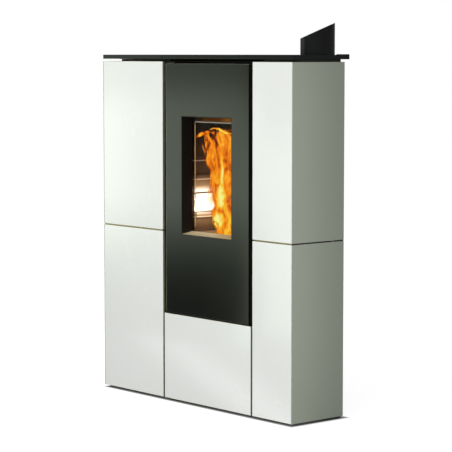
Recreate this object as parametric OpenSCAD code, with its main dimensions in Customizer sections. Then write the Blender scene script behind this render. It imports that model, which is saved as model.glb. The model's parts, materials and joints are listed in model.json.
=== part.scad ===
// Slim corridor pellet stove: two clad columns, a glazed fire door between them,
// an ash drawer below it, a slab on top and a mitred flue sleeve at the rear right.
// Millimetres. X runs left to right, Y front to back, Z up. The origin lies on the
// floor, under the middle of the slab.

/* [Cabinet] */
// Width over the two side panels
body_w = 961; // [900:1:1100]
// Depth of the side panels, from the front face to the rear edge
panel_d = 221; // [215:1:260]
// How far the slab reaches behind the side panels
slab_over = 21; // [18:1:40]
// Height of the slab's top above the floor
total_h = 1150; // [1120:1:1300]
// Thickness of the slab
slab_t = 14; // [12:1:24]
// Open gap between the panels and the slab
shadow_gap = 8; // [8:1:16]
// Height of the recessed plinth
plinth_h = 8; // [8:1:20]
// How far the plinth stands back from each side
plinth_side = 8; // [4:1:30]
// How far the plinth stands back from the front
plinth_front = 34; // [20:1:50]
// Sheet thickness of the folded steel parts
sheet_t = 2; // [1.5:0.5:3]
// Thickness of the base plate
base_t = 3; // [2:0.5:5]
// Leg width of the four corner angles
post_w = 25; // [15:1:35]
// Diameter of a levelling foot
foot_d = 44; // [30:1:60]
// Diameter of a levelling foot's threaded stem
stem_d = 10; // [8:1:14]

/* [Front cladding] */
// Width of the left column
left_w = 325; // [310:1:360]
// Width of the right column
right_w = 185; // [180:1:220]
// Upright gap between the left column and the door
gap_l = 17; // [16:1:24]
// Upright gap between the door and the right column
gap_r = 18; // [16:1:26]
// Thickness of a glazed front tile
tile_t = 9; // [6:0.5:9.5]
// Height of the level seam between upper and lower panels
seam_z = 568.5; // [450:0.5:700]
// Open height of that seam
seam_gap = 4; // [3:0.5:8]
// How far the partitions stand back from the tiles' edges
part_set = 2; // [1:0.5:4]
// Gap on each side of the drawer front
drawer_gap = 8; // [5:0.5:12]
// Height of the door's lower edge above the floor
door_z0 = 297; // [290:1:310]
// Gap between the drawer front and the door
joint_gap = 3.6; // [3:0.2:6]
// Height of the warm air slot between the door and the slab
outlet_slot = 15; // [14:1:30]
// Fitting clearance between cladding pieces
fit_gap = 0.3; // [0.2:0.1:0.6]

/* [Door] */
// Thickness of the black outer glass
outer_glass_t = 5; // [4:0.5:6]
// Width of the window's mouth in the outer glass
window_w = 248; // [200:1:260]
// Height of the window's mouth
window_h = 385; // [300:1:400]
// Distance of the window's upper edge below the slab's top
window_drop = 202; // [190:1:240]
// Width of the bright lip around the mouth
lip_w = 1.5; // [1:0.5:3]
// Depth of the tapered reveal
reveal_d = 35; // [33:1:36]
// Inward slope of the reveal at each side
reveal_side = 12; // [6:1:16]
// Inward slope of the reveal at the top
reveal_top = 15; // [6:1:20]
// Inward slope of the reveal at the bottom
reveal_bottom = 9; // [4:1:16]
// Thickness of the fire glass
fire_glass_t = 4; // [4:0.5:5]
// How far the fire glass overlaps its opening
glass_lap = 20; // [14:1:24]
// Distance of the hinge axis from the door's left edge and front face
hinge_in = 21; // [19:1:22]
// Diameter of the hinge pins
hinge_pin_d = 8; // [6:1:10]
// Length of hinge pin inside the door
hinge_pin_l = 22; // [15:1:30]
// Radial running clearance on pins and shafts
run_clear = 0.08; // [0.05:0.01:0.1]
// Width of the rope gasket
rope_w = 12; // [8:1:14]
// Length of the latch lever below its pivot
lever_l = 130; // [100:1:160]

/* [Firebox] */
// How far the firebox reaches past the window at each side
fire_margin = 16; // [14:0.5:18]
// Inner depth of the firebox
fire_d = 100; // [96:1:102]
// Height of the firebox floor above the base of the stove
fire_z0 = 330; // [322:1:345]
// Wall thickness of the firebox
wall_t = 4; // [3:0.5:5]
// Base thickness of the ribbed side liners
liner_t = 12; // [8:1:16]
// Spacing of the liners' level ribs
rib_pitch = 62; // [40:1:80]
// Height of one rib
rib_h = 18; // [10:1:30]
// Depth of one rib
rib_d = 5; // [3:0.5:8]
// Thickness of the back liner
back_liner_t = 8; // [6:1:12]
// How far the firebox mouth reaches above the fire glass
mouth_over = 17; // [14:1:24]
// Height of the baffle above the firebox mouth
baffle_lift = 20; // [14:1:40]
// Inner width of the burn pot
pot_w = 86; // [70:1:100]
// Inner depth of the burn pot
pot_d = 60; // [50:1:64]
// Depth of the burn pot below its rim
pot_h = 54; // [40:1:60]
// Height of the burn pot's rim above the floor
pot_z = 440; // [425:1:470]
// Outer diameter of the heat exchanger tubes
tube_od = 28; // [20:1:30]
// Number of heat exchanger tubes
tube_n = 8; // [5:1:8]

/* [Pellet feed] */
// Outer diameter of the feed tube
feed_od = 50; // [46:1:50]
// Wall thickness of the feed tube
feed_wall = 2.5; // [2:0.5:4]
// Slope of the feed screw
feed_slope = 30; // [26:1:32]
// Pitch of the feed screw
screw_pitch = 50; // [35:1:60]
// Diameter of the feed screw's core
screw_core_d = 16; // [12:1:20]
// Height where the feed tube reaches the middle of the firebox
feed_z = 700; // [690:1:720]
// Width of the opening that the pellets fall through
chute_w = 48; // [44:1:50]
// Height of that opening
chute_h = 60; // [50:1:64]
// Height of the bin's straight part
bin_h = 326; // [300:1:340]

/* [Flue and fans] */
// Outer diameter of the flue pipe
flue_od = 80; // [70:1:84]
// Wall thickness of the flue pipe
flue_wall = 1.5; // [1:0.5:3]
// Outer diameter of the mitred flue sleeve
sleeve_od = 108; // [104:1:112]
// Wall thickness of the flue sleeve
sleeve_wall = 2; // [1.5:0.5:3]
// Height of the sleeve's mitre at its axis, above the slab
sleeve_h = 75; // [70:1:110]
// Angle of the mitre
mitre = 24.4; // [0:0.2:25]
// Direction that the mitre's high side faces, turned from the right
mitre_turn = 49.25; // [0:0.25:90]
// Distance of the flue axis from the right side
flue_in = 58.5; // [57:0.5:64]
// Distance of the flue axis behind the front face
flue_back = 159; // [155:1:162]
// Outer diameter of the air intake spigot
intake_od = 50; // [40:1:60]
// Distance of the air intake's axis below the burn pot's rim
intake_drop = 55; // [50:1:60]
// Diameter of the warm air blower's rotor
blower_d = 42; // [36:1:42]
// Width of the warm air blower, over its housing
blower_w = 220; // [180:1:230]
// Height of the blower's housing and outlet shaft
blower_h = 152; // [130:1:160]
// Number of blades on the blower's rotor
blade_n = 20; // [12:1:24]
// Outer radius of the exhaust fan's impeller
impeller_r = 58; // [45:1:60]
// Number of vanes on the impeller
vane_n = 8; // [5:1:12]
// Diameter of the fan shafts
shaft_d = 8; // [6:1:10]

/* [Control board] */
// Height of the board's lower edge above the floor
board_z0 = 620; // [580:1:700]
// Height of the board
board_h = 180; // [150:1:220]
// Depth of the board
board_w = 80; // [60:1:100]

/* [Drawer and lid] */
// Inner width of the ash tray
tray_w = 256; // [220:1:262]
// Height of the ash tray
tray_h = 120; // [90:1:150]
// Thickness of the tray's sheet
tray_t = 1.5; // [1:0.5:2]
// How far the lid's edge stands inside the left column's edge
lid_set = 3; // [2:0.5:8]
// Gap between the lid and the fixed slab
lid_gap = 1.5; // [1:0.5:3]
// Stand-back of the hopper collar from the left side
collar_side = 45; // [40:1:60]
// Stand-back of the hopper collar from the front
collar_front = 46; // [40:1:60]

/* [Hidden] */
$fn = 48;
e = 0.5;
xl = -body_w / 2;
xr = body_w / 2;
slab_d = panel_d + slab_over;
yf = -slab_d / 2;
ys = slab_d / 2;
yb = yf + panel_d;
z_slab = total_h - slab_t;
z_pan = z_slab - shadow_gap;
z_base = plinth_h + base_t;
x_in_l = xl + sheet_t;
x_in_r = xr - sheet_t;
y_tile = yf + tile_t;
y_back = yb - sheet_t;
z_tp = z_pan - sheet_t;
col_l = xl + left_w;
col_r = xr - right_w;
pl1 = col_l - part_set;
pl0 = pl1 - sheet_t;
pr0 = col_r + part_set;
pr1 = pr0 + sheet_t;
dx0 = col_l + gap_l;
dx1 = col_r - gap_r;
dcx = (dx0 + dx1) / 2;
door_z1 = z_slab - outlet_slot;
drawer_z1 = door_z0 - joint_gap;
door_set = 2;
hinge_x = dx0 + hinge_in;
hinge_y = yf + hinge_in;
y_reveal = yf + reveal_d;
y_door = y_reveal + 1;
y_front = yf + 51;
fwall = 4;
slot_w = 20;
rim_d = 6;
y_fire = y_front + fwall;
fire_w = window_w + 2 * fire_margin;
fx0 = dcx - fire_w / 2;
fx1 = dcx + fire_w / 2;
fy1 = y_fire + fire_d;
fy2 = fy1 + wall_t;
mouth_z0 = fire_z0 + 30;
fire_top = z_tp - 14;
window_z1 = total_h - window_drop;
window_z0 = window_z1 - window_h;
win_in_z0 = window_z0 + reveal_bottom;
win_in_z1 = window_z1 - reveal_top;
gz0 = win_in_z0 - glass_lap;
gz1 = win_in_z1 + glass_lap;
mouth_z1 = gz1 + mouth_over;
baffle_z = mouth_z1 + baffle_lift;
tube_pitch = fire_w / tube_n;
tube_z = z_tp - 41;
pot_cy = y_fire + fire_d / 2;
pot_wall = 2;
pot_flange = 5;
seat_wall = 4;
seat_clear = 1;
ign_r = 6;
ign_x = dcx - 36;
ign_z = pot_z - 28;
feed_y = (fy2 + y_back) / 2 + 1;
feed_low_x = xl + 80;
feed_l = (dcx - feed_low_x) / cos(feed_slope);
feed_r = feed_od / 2;
screw_r = feed_od / 2 - feed_wall - 1;
flue_x = xr - flue_in;
flue_y = yf + flue_back;
fan_x = flue_x - 37;
fan_z = 240;
fan_r = impeller_r + 12;
fan_y0 = flue_y - 26;
fan_y1 = flue_y + 26;
blow_x0 = dcx - 135;
blow_x1 = blow_x0 + blower_w;
blow_z = 190;
blow_y = feed_y;
lid_x1 = col_l - lid_set;
lid_ax_y = yb + 4;
lid_ax_z = z_slab - 4;
knuckle_r = 3.6;
lid_pin_r = 1.5;
tray_y1 = fy2 - 2;
tray_z0 = z_base + 9;
bez_x0 = flue_x - 92;
bez_x1 = flue_x + 28;
bez_y0 = yf + 18;
bez_y1 = yf + 76;
chute_z0 = feed_z - 110;
intake_z = pot_z - intake_drop;
hx0 = x_in_l + 8;
hx1 = pl0 - 14;
hy0 = y_tile + 12;
hy1 = y_back - 6;
neck_x0 = feed_low_x + 10;
neck_x1 = neck_x0 + 70;
neck_z = 540;
neck_d = 40;
neck_l = 110;
// Smoke duct: sheet thickness, its ends past the hollow, and the eye it feeds the fan through
duct_t = 2;
duct_end = 3;
fan_eye_r = 25;
bin_z = z_tp - bin_h;
sock_z = 70;
tray_x0 = dcx - tray_w / 2 - tray_t;
tray_x1 = dcx + tray_w / 2 + tray_t;
wx0 = dcx - window_w / 2;
wx1 = dcx + window_w / 2;
lever_y = yf + 23;
lever_z = 735;
gx0 = wx0 + reveal_side - glass_lap;
gx1 = wx1 - reveal_side + glass_lap;
steel = [0.16, 0.16, 0.17];
zinc = [0.66, 0.67, 0.68];
white = [0.93, 0.94, 0.92];
black = [0.07, 0.07, 0.07];

// A box from one corner to the opposite one
module box(a, b) {
    translate(a)
        cube(b - a);
}

// A cylinder along Y, from y0 to y1
module rod_y(x, z, y0, y1, r) {
    translate([x, y1, z])
        rotate([90, 0, 0])
            cylinder(h = y1 - y0, r = r);
}

// A cylinder along X, from x0 to x1
module rod_x(y, z, x0, x1, r) {
    translate([x0, y, z])
        rotate([0, 90, 0])
            cylinder(h = x1 - x0, r = r);
}

// A four-sided ring in the XZ plane, from the inner corners outward by w
module ring_xz(x0, z0, x1, z1, y0, y1, w) {
    difference() {
        box([x0 - w, y0, z0 - w], [x1 + w, y1, z1 + w]);
        box([x0, y0 - e, z0], [x1, y1 + e, z1]);
    }
}

// A box that tapers evenly in X and in Z from front to back, as a solid
module taper(x0, x1, z0, z1, u0, u1, v0, v1, y0, y1) {
    intersection() {
        translate([0, 0, min(z0, v0) - 1])
            linear_extrude(height = max(z1, v1) - min(z0, v0) + 2)
                polygon([[x0, y0], [x1, y0], [u1, y1], [u0, y1]]);
        translate([min(x0, u0) - 1, 0, 0])
            rotate([90, 0, 90])
                linear_extrude(height = max(x1, u1) - min(x0, u0) + 2)
                    polygon([[y0, z0], [y0, z1], [y1, v1], [y1, v0]]);
    }
}

// A bin that narrows downward in X and in Y: mouth a to b at z1, neck c to d at z0
module funnel(a, b, c, d, z0, z1) {
    intersection() {
        translate([0, max(b[1], d[1]) + 1, 0])
            rotate([90, 0, 0])
                linear_extrude(height = max(b[1], d[1]) - min(a[1], c[1]) + 2)
                    polygon([[c[0], z0], [d[0], z0], [b[0], z1], [a[0], z1]]);
        translate([min(a[0], c[0]) - 1, 0, 0])
            rotate([90, 0, 90])
                linear_extrude(height = max(b[0], d[0]) - min(a[0], c[0]) + 2)
                    polygon([[c[1], z0], [d[1], z0], [b[1], z1], [a[1], z1]]);
    }
}

// Moves its children onto the feed screw's axis, with Z along it, zero at the top end
module on_feed() {
    translate([dcx, feed_y, feed_z])
        rotate([0, 90 - feed_slope, 0])
            children();
}

module base_plate() {
    color(steel)
        difference() {
            box([x_in_l, y_tile, plinth_h], [x_in_r, y_back, z_base]);
            for (p = foot_points())
                translate([p[0], p[1], 0])
                    cylinder(h = z_base + e, r = stem_d / 2 + fit_gap);
        }
}

function foot_points() = [for (x = [xl + 70, xr - 70], y = [yf + 75, yb - 45]) [x, y]];

module plinth() {
    x0 = xl + plinth_side;
    x1 = xr - plinth_side;
    y0 = yf + plinth_front;
    color(black)
        difference() {
            box([x0, y0, 2], [x1, y_back, plinth_h]);
            box([x0 + sheet_t, y0 + sheet_t, 1], [x1 - sheet_t, y_back - sheet_t, plinth_h + e]);
        }
}

module levelling_feet() {
    color(zinc)
        for (p = foot_points())
            translate([p[0], p[1], 0]) {
                cylinder(h = plinth_h, r = foot_d / 2);
                cylinder(h = z_base + 16, r = stem_d / 2);
                translate([0, 0, z_base])
                    cylinder(h = 8, r = stem_d * 0.9, $fn = 6);
            }
}

module corner_posts() {
    color(steel)
        for (m = [0, 1])
            mirror([m, 0, 0]) {
                box([x_in_r - post_w, y_tile, z_base], [x_in_r, y_tile + sheet_t, z_tp]);
                box([x_in_r - sheet_t, y_tile, z_base], [x_in_r, y_tile + post_w, z_tp]);
                box([x_in_r - post_w, y_back - sheet_t, z_base], [x_in_r, y_back, z_tp]);
                box([x_in_r - sheet_t, y_back - post_w, z_base], [x_in_r, y_back, z_tp]);
            }
}

module partitions() {
    color(steel) {
        difference() {
            box([pl0, y_tile, z_base], [pl1, y_back, z_tp]);
            on_feed()
                translate([0, 0, -feed_l])
                    cylinder(h = feed_l, r = feed_r + fit_gap);
        }
        difference() {
            box([pr0, y_tile, z_base], [pr1, y_back, z_tp]);
            box([pr0 - e, fan_y1 - fit_gap, fan_z - 46], [pr1 + e, y_back - 1, fan_z + 46]);
        }
        for (z = [z_base, seam_z - 40, seam_z + 20, z_tp - 20]) {
            box([pl1 - 22, y_tile, z], [pl0, y_tile + sheet_t, z + 20]);
            box([pr1, y_tile, z], [pr0 + 22, y_tile + sheet_t, z + 20]);
        }
    }
}

module collar_box(z0, z1, grow) {
    box([xl + collar_side - grow, yf + collar_front - grow, z0],
        [pl0 - 10 + grow, y_back - 14 + grow, z1]);
}

module hopper_collar() {
    color(black)
        difference() {
            union() {
                box([x_in_l, y_tile, z_tp], [pl0, y_back, z_pan]);
                collar_box(z_pan, z_slab - 1, 0);
                box([pl0 - 14, y_back - 14, z_pan], [pl0, y_back - 4, z_slab - 1]);
            }
            collar_box(z_tp - e, z_slab, -sheet_t);
        }
}

module top_plate() {
    slot_x0 = fx0 + (tube_pitch - slot_w) / 2;
    color(black)
        difference() {
            union() {
                box([pl0, y_front, z_tp], [pr1, y_back, z_pan]);
                box([pr1, y_tile, z_tp], [x_in_r, y_back, z_pan]);
                box([pl0, y_back - 8, z_pan], [x_in_r - 10, y_back - 4, z_slab]);
                box([x_in_r - 14, yf + collar_front, z_pan], [x_in_r - 10, y_back - 8, z_slab]);
                box([pr0 + 2, yf + collar_front, z_pan], [pr0 + 6, y_back - 8, z_slab]);
                box([pr0 + 6, yf + collar_front, z_pan], [x_in_r - 14, yf + collar_front + 4, z_slab]);
            }
            translate([flue_x, flue_y, z_tp - e])
                cylinder(h = 40, r = flue_od / 2 + 1);
            for (i = [0:tube_n - 1])
                box([slot_x0 + i * tube_pitch, y_front + 20, z_tp - e],
                    [slot_x0 + i * tube_pitch + slot_w, y_back - 30, z_pan + e]);
        }
}

module back_panel() {
    color(steel)
        difference() {
            box([x_in_l, y_back, z_base], [x_in_r, yb, z_tp]);
            rod_y(dcx, intake_z, y_back - e, yb + e, intake_od / 2 + fit_gap);
            for (i = [0:13])
                box([blow_x0 + 6 + i * 15, y_back - e, blow_z - 40], [blow_x0 + 13 + i * 15, yb + e, blow_z + 20]);
            for (j = [0:7])
                box([fan_x - 50, y_back - e, 560 + j * 16], [fan_x + 50, yb + e, 567 + j * 16]);
            box([fan_x - 58, y_back - e, 42], [fan_x + 58, yb + e, 98]);
            for (x = [x_in_l + 12, dcx - 120, dcx + 120, x_in_r - 12], z = [40, z_tp / 2, z_tp - 30])
                rod_y(x, z, y_back - e, yb + e, 2.2);
        }
}

module panel_screws() {
    color(zinc)
        for (x = [x_in_l + 12, dcx - 120, dcx + 120, x_in_r - 12], z = [40, z_tp / 2, z_tp - 30]) {
            rod_y(x, z, y_back, yb + 1, 2);
            rod_y(x, z, yb, yb + 2.2, 4);
        }
}

// A front tile between two heights, with softened front edges
module tile(x0, x1, z0, z1) {
    r = 1.5;
    color(white)
        difference() {
            box([x0, yf, z0], [x1, y_tile, z1]);
            for (s = [[x0, 0], [x1, 1]])
                translate([s[0], yf, z0 - e])
                    rotate([0, 0, 45])
                        translate([-r / 2, -r / 2, 0])
                            cube([r, r, z1 - z0 + 2 * e]);
        }
}

module tile_left_upper() {
    tile(x_in_l + fit_gap, col_l, seam_z + seam_gap / 2, z_pan);
}

module tile_left_lower() {
    tile(x_in_l + fit_gap, col_l, plinth_h, seam_z - seam_gap / 2);
}

module tile_right_upper() {
    tile(col_r, x_in_r - fit_gap, seam_z + seam_gap / 2, z_pan);
}

module tile_right_lower() {
    tile(col_r, x_in_r - fit_gap, plinth_h, seam_z - seam_gap / 2);
}

// A side panel between two heights, mirrored to the left side where m is 1
module side_panel(m, z0, z1) {
    color([0.55, 0.58, 0.52])
        mirror([m, 0, 0])
            box([x_in_r, yf, z0], [xr, yb, z1]);
}

module side_left_upper() {
    side_panel(1, seam_z + seam_gap / 2, z_pan);
}

module side_left_lower() {
    side_panel(1, plinth_h, seam_z - seam_gap / 2);
}

module side_right_upper() {
    side_panel(0, seam_z + seam_gap / 2, z_pan);
}

module side_right_lower() {
    side_panel(0, plinth_h, seam_z - seam_gap / 2);
}

module seam_profiles() {
    z0 = seam_z - seam_gap / 2;
    z1 = seam_z + seam_gap / 2;
    color([0.5, 0.42, 0.28]) {
        box([x_in_l + fit_gap, yf + 1.5, z0 + fit_gap], [pl0 - 2, y_tile, z1 - fit_gap]);
        box([pr1 + 2, yf + 1.5, z0 + fit_gap], [x_in_r - fit_gap, y_tile, z1 - fit_gap]);
        for (m = [0, 1])
            mirror([m, 0, 0])
                box([x_in_r, yf + 12, z0 + fit_gap], [xr - 0.8, yb - 2, z1 - fit_gap]);
    }
}

module top_slab() {
    x0 = lid_x1 + lid_gap;
    color(black)
        difference() {
            box([x0, yf, z_slab], [xr, ys, total_h]);
            translate([flue_x, flue_y, z_slab - e])
                cylinder(h = slab_t + 2 * e, r = flue_od / 2 + 1);
            box([bez_x0 - fit_gap, bez_y0 - fit_gap, total_h - 8], [bez_x1 + fit_gap, bez_y1 + fit_gap, total_h + e]);
            translate([(bez_x0 + bez_x1) / 2, (bez_y0 + bez_y1) / 2, z_slab - e])
                cylinder(h = slab_t, r = 10);
        }
}

module control_bezel() {
    color(black)
        difference() {
            box([bez_x0, bez_y0, total_h - 8], [bez_x1, bez_y1, total_h - 0.5]);
            box([bez_x0 + 8, bez_y0 + 8, total_h - 2], [bez_x0 + 70, bez_y1 - 8, total_h]);
            for (i = [0, 1, 2])
                translate([bez_x1 - 14, bez_y0 + 13 + i * 16, total_h - 2])
                    cylinder(h = 3, r = 5);
        }
}

module rear_cover() {
    color(black)
        difference() {
            box([xr - 31, flue_y + sleeve_od / 2 + 2, total_h], [xr - 1, ys - 1, total_h + 2]);
            for (x = [xr - 26, xr - 6])
                translate([x, yb + 7, total_h + 1.2])
                    cylinder(h = 2, r = 2.5);
        }
}

module flue_sleeve() {
    color(black)
        translate([flue_x, flue_y, total_h])
            difference() {
                cylinder(h = sleeve_h + 30, r = sleeve_od / 2, $fn = 64);
                translate([0, 0, -e])
                    cylinder(h = sleeve_h + 40, r = sleeve_od / 2 - sleeve_wall, $fn = 64);
                rotate([0, 0, mitre_turn])
                    translate([0, 0, sleeve_h])
                        rotate([0, -mitre, 0])
                            translate([-sleeve_od, -sleeve_od, 0])
                                cube([2 * sleeve_od, 2 * sleeve_od, sleeve_h + 60]);
            }
}

module flue_pipe() {
    color(zinc)
        translate([flue_x, flue_y, fan_z + fan_r + 30]) {
            difference() {
                union() {
                    cylinder(h = total_h + 44 - fan_z - fan_r - 30, r = flue_od / 2);
                    cylinder(h = 40, r = flue_od / 2 + 2);
                }
                translate([0, 0, -e])
                    cylinder(h = total_h, r = flue_od / 2 - flue_wall);
            }
        }
}

module firebox_shell() {
    color(steel)
        difference() {
            box([fx0 - wall_t, y_fire, fire_z0 - wall_t], [fx1 + wall_t, fy1, fire_top + wall_t]);
            box([fx0, y_fire - e, fire_z0], [fx1, fy1 + e, fire_top]);
            box([dcx - 50, pot_cy - 26, fire_z0 - wall_t - e], [dcx + 50, pot_cy + 26, fire_z0 + e]);
            box([fx1 - e, y_fire + 16, baffle_z + 20], [fx1 + wall_t + e, fy1 - 20, baffle_z + 64]);
        }
}

module firebox_back() {
    color(steel)
        difference() {
            box([fx0 - wall_t, fy1, fire_z0 - wall_t], [fx1 + wall_t, fy2, fire_top + wall_t]);
            for (i = [0:tube_n - 1])
                rod_y(tube_x(i), tube_z, fy1 - e, fy2 + e, tube_od / 2 + fit_gap);
            rod_y(dcx, intake_z, fy1 - e, fy2 + e, intake_od / 2 - 2);
            rod_y(ign_x, ign_z, fy1 - e, fy2 + e, ign_r + fit_gap);
            box([dcx - chute_w / 2, fy1 - e, chute_z0], [dcx + chute_w / 2, fy2 + e, chute_z0 + chute_h]);
        }
}

function tube_x(i) = dcx + (i - (tube_n - 1) / 2) * (tube_pitch - 2);

module firebox_front() {
    color(steel)
        difference() {
            union() {
                box([pl1, y_front, door_z0 - 3], [pr0, y_fire, fire_top + 10]);
                ring_xz(fx0, mouth_z0, fx1, mouth_z1, y_front - rim_d, y_fire, rim_d);
                box([pr0 - 16, y_front - 6, lever_z - 45], [pr0, y_front, lever_z + 25]);
            }
            box([fx0, y_front - rim_d - e, mouth_z0], [fx1, y_fire + e, mouth_z1]);
            for (i = [0:tube_n - 1])
                rod_y(tube_x(i), tube_z, y_front - e, y_fire + e, tube_od / 2 + fit_gap);
        }
}

// One ribbed liner standing against the left wall, or mirrored against the right one
module side_liners() {
    n = floor((baffle_z - fire_z0 - 60) / rib_pitch);
    color([0.3, 0.27, 0.23])
        for (m = [0, 1])
            translate([dcx, 0, 0])
                mirror([m, 0, 0]) {
                    box([-fire_w / 2, y_fire + 2, fire_z0], [-fire_w / 2 + liner_t, fy1, baffle_z]);
                    for (i = [0:n])
                        box([-fire_w / 2 + liner_t, y_fire + 6, fire_z0 + 36 + i * rib_pitch],
                            [-fire_w / 2 + liner_t + rib_d, fy1 - back_liner_t - 2, fire_z0 + 36 + i * rib_pitch + rib_h]);
                }
}

module back_liner() {
    color([0.3, 0.27, 0.23])
        difference() {
            box([fx0 + liner_t, fy1 - back_liner_t, fire_z0], [fx1 - liner_t, fy1, baffle_z]);
            box([dcx - chute_w / 2 - 1, fy1 - back_liner_t - e, chute_z0 - 1],
                [dcx + chute_w / 2 + 1, fy1 + e, chute_z0 + chute_h + 1]);
            rod_y(dcx, intake_z, fy1 - back_liner_t - e, fy1 + e, intake_od / 2 - 2);
            rod_y(ign_x, ign_z, fy1 - back_liner_t - e, fy1 + e, ign_r + fit_gap);
        }
}

module baffle() {
    color([0.25, 0.24, 0.22])
        difference() {
            box([fx0 + fit_gap, y_fire + 28, baffle_z], [fx1 - fit_gap, fy1, baffle_z + 6]);
            for (x = [-60, 60])
                translate([dcx + x, y_fire + 60, baffle_z - e])
                    cylinder(h = 8, r = 6);
        }
}

module pot_seat() {
    px = pot_w / 2 + pot_wall + seat_clear;
    py = pot_d / 2 + pot_wall + seat_clear;
    color(steel)
        difference() {
            box([dcx - px - seat_wall, pot_cy - py - seat_wall, fire_z0],
                [dcx + px + seat_wall, fy1 - back_liner_t, pot_z - 4]);
            box([dcx - px, pot_cy - py, fire_z0 - e], [dcx + px, pot_cy + py, pot_z]);
            rod_y(dcx, intake_z, pot_cy, fy1, intake_od / 2 - 2);
            rod_y(ign_x, ign_z, pot_cy, fy1, ign_r + fit_gap);
        }
}

module burn_pot() {
    ox = pot_w / 2 + pot_wall;
    oy = pot_d / 2 + pot_wall;
    color([0.2, 0.19, 0.18])
        difference() {
            union() {
                box([dcx - ox, pot_cy - oy, pot_z - pot_h - 4], [dcx + ox, pot_cy + oy, pot_z]);
                box([dcx - ox - pot_flange, pot_cy - oy - pot_flange, pot_z - 4],
                    [dcx + ox + pot_flange, pot_cy + oy + pot_flange, pot_z]);
            }
            box([dcx - pot_w / 2, pot_cy - pot_d / 2, pot_z - pot_h], [dcx + pot_w / 2, pot_cy + pot_d / 2, pot_z + e]);
            for (i = [-3:3], j = [-2:2])
                translate([dcx + i * 12, pot_cy + j * 12, pot_z - pot_h - 4 - e])
                    cylinder(h = 6, r = 2.5);
            for (i = [-3:3])
                rod_y(dcx + i * 12, pot_z - 24, pot_cy - oy - e, pot_cy + oy + e, 2);
        }
}

module igniter() {
    y0 = pot_cy + pot_d / 2 + pot_wall + seat_clear;
    color(zinc) {
        rod_y(ign_x, ign_z, y0, fy2 + 12, ign_r);
        rod_y(ign_x, ign_z, fy2, fy2 + 3, ign_r + 5);
    }
}

module heat_tubes() {
    color(steel)
        for (i = [0:tube_n - 1])
            difference() {
                rod_y(tube_x(i), tube_z, y_front, fy2, tube_od / 2);
                rod_y(tube_x(i), tube_z, y_front - e, fy2 + e, tube_od / 2 - 2);
            }
}

// The smoke's way from above the baffle to the fan: box lengths and the hollow inside each
duct_x = [fx1 + wall_t + 8, pr0 - 6];
duct_y = [y_fire + 40, fan_y1 + 32];
duct_z = [fan_z - 42, baffle_z + 70];

module collector_hollow() {
    box([fx1 + wall_t - e, y_fire + 14 + duct_t, baffle_z + 18 + duct_t],
        [duct_x[1] - duct_end, fy1 - 18 - duct_t, baffle_z + 66 - duct_t]);
}

module elbow_hollow() {
    box([duct_x[1] - duct_t - e, fan_y1 + duct_t, duct_z[0] + duct_t],
        [fan_x + 30 - duct_t, duct_y[1] - duct_t, fan_z + 42 - duct_t]);
}

module smoke_collector() {
    color(zinc)
        difference() {
            box([fx1 + wall_t, y_fire + 14, baffle_z + 18], [duct_x[1], fy1 - 18, baffle_z + 66]);
            box([duct_x[0], duct_y[0], duct_z[0]], [duct_x[1] + e, duct_y[1], duct_z[1]]);
            collector_hollow();
        }
}

module smoke_riser() {
    t = duct_t;
    color(zinc)
        difference() {
            box([duct_x[0], duct_y[0], duct_z[0]], [duct_x[1], duct_y[1], duct_z[1]]);
            box([duct_x[0] + t, duct_y[0] + t, duct_z[0] + t], [duct_x[1] - t, duct_y[1] - t, duct_z[1] - t]);
            collector_hollow();
            elbow_hollow();
        }
}

module smoke_elbow() {
    color(zinc)
        difference() {
            box([duct_x[1], fan_y1, duct_z[0]], [fan_x + 30, duct_y[1], fan_z + 42]);
            elbow_hollow();
            rod_y(fan_x, fan_z, fan_y1 - e, fan_y1 + duct_t + e, fan_eye_r);
        }
}

module exhaust_housing() {
    r = fan_r + 2;
    color(zinc)
        difference() {
            union() {
                rod_y(fan_x, fan_z, fan_y0, fan_y1, r);
                translate([flue_x, flue_y, fan_z])
                    intersection() {
                        cylinder(h = fan_r + 30, r = flue_od / 2);
                        box([-100, fan_y0 - flue_y, -e], [100, fan_y1 - flue_y, fan_r + 29]);
                    }
                translate([flue_x, flue_y, fan_z + fan_r + 4])
                    cylinder(h = 26, r = flue_od / 2);
            }
            rod_y(fan_x, fan_z, fan_y0 + 2, fan_y1 - 2, fan_r);
            translate([flue_x, flue_y, fan_z])
                intersection() {
                    cylinder(h = fan_r + 40, r = flue_od / 2 - 2);
                    box([-100, fan_y0 + 2 - flue_y, 0], [100, fan_y1 - 2 - flue_y, fan_r + 40]);
                }
            rod_y(fan_x, fan_z, fan_y1 - 3, fan_y1 + e, fan_eye_r);
            rod_y(fan_x, fan_z, fan_y0 - e, fan_y0 + 3, shaft_d / 2 + run_clear);
        }
    color(steel)
        difference() {
            union() {
                rod_y(fan_x, fan_z, fan_y0 - 60, fan_y0 - 8, 34);
                for (a = [45:90:315])
                    rod_y(fan_x + 26 * cos(a), fan_z + 26 * sin(a), fan_y0 - 8, fan_y0, 4);
            }
            rod_y(fan_x, fan_z, fan_y0 - 40, fan_y0 + e, shaft_d / 2 + run_clear);
        }
}

module exhaust_impeller() {
    y0 = fan_y0 + 8;
    y1 = fan_y1 - 8;
    color(zinc) {
        rod_y(fan_x, fan_z, y0, y0 + 2, impeller_r);
        rod_y(fan_x, fan_z, fan_y0 - 38, y0 + 14, shaft_d / 2);
        rod_y(fan_x, fan_z, y0, y0 + 14, shaft_d);
        for (i = [0:vane_n - 1])
            translate([fan_x, y0, fan_z])
                rotate([0, i * 360 / vane_n, 0])
                    box([shaft_d - 1, 0, -1], [impeller_r - 1, y1 - y0, 1]);
    }
}

module hopper_bin() {
    t = tray_t;
    color(zinc)
        difference() {
            box([hx0, hy0, bin_z], [hx1, hy1, z_tp]);
            box([hx0 + t, hy0 + t, bin_z - e], [hx1 - t, hy1 - t, z_tp + e]);
        }
}

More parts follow.
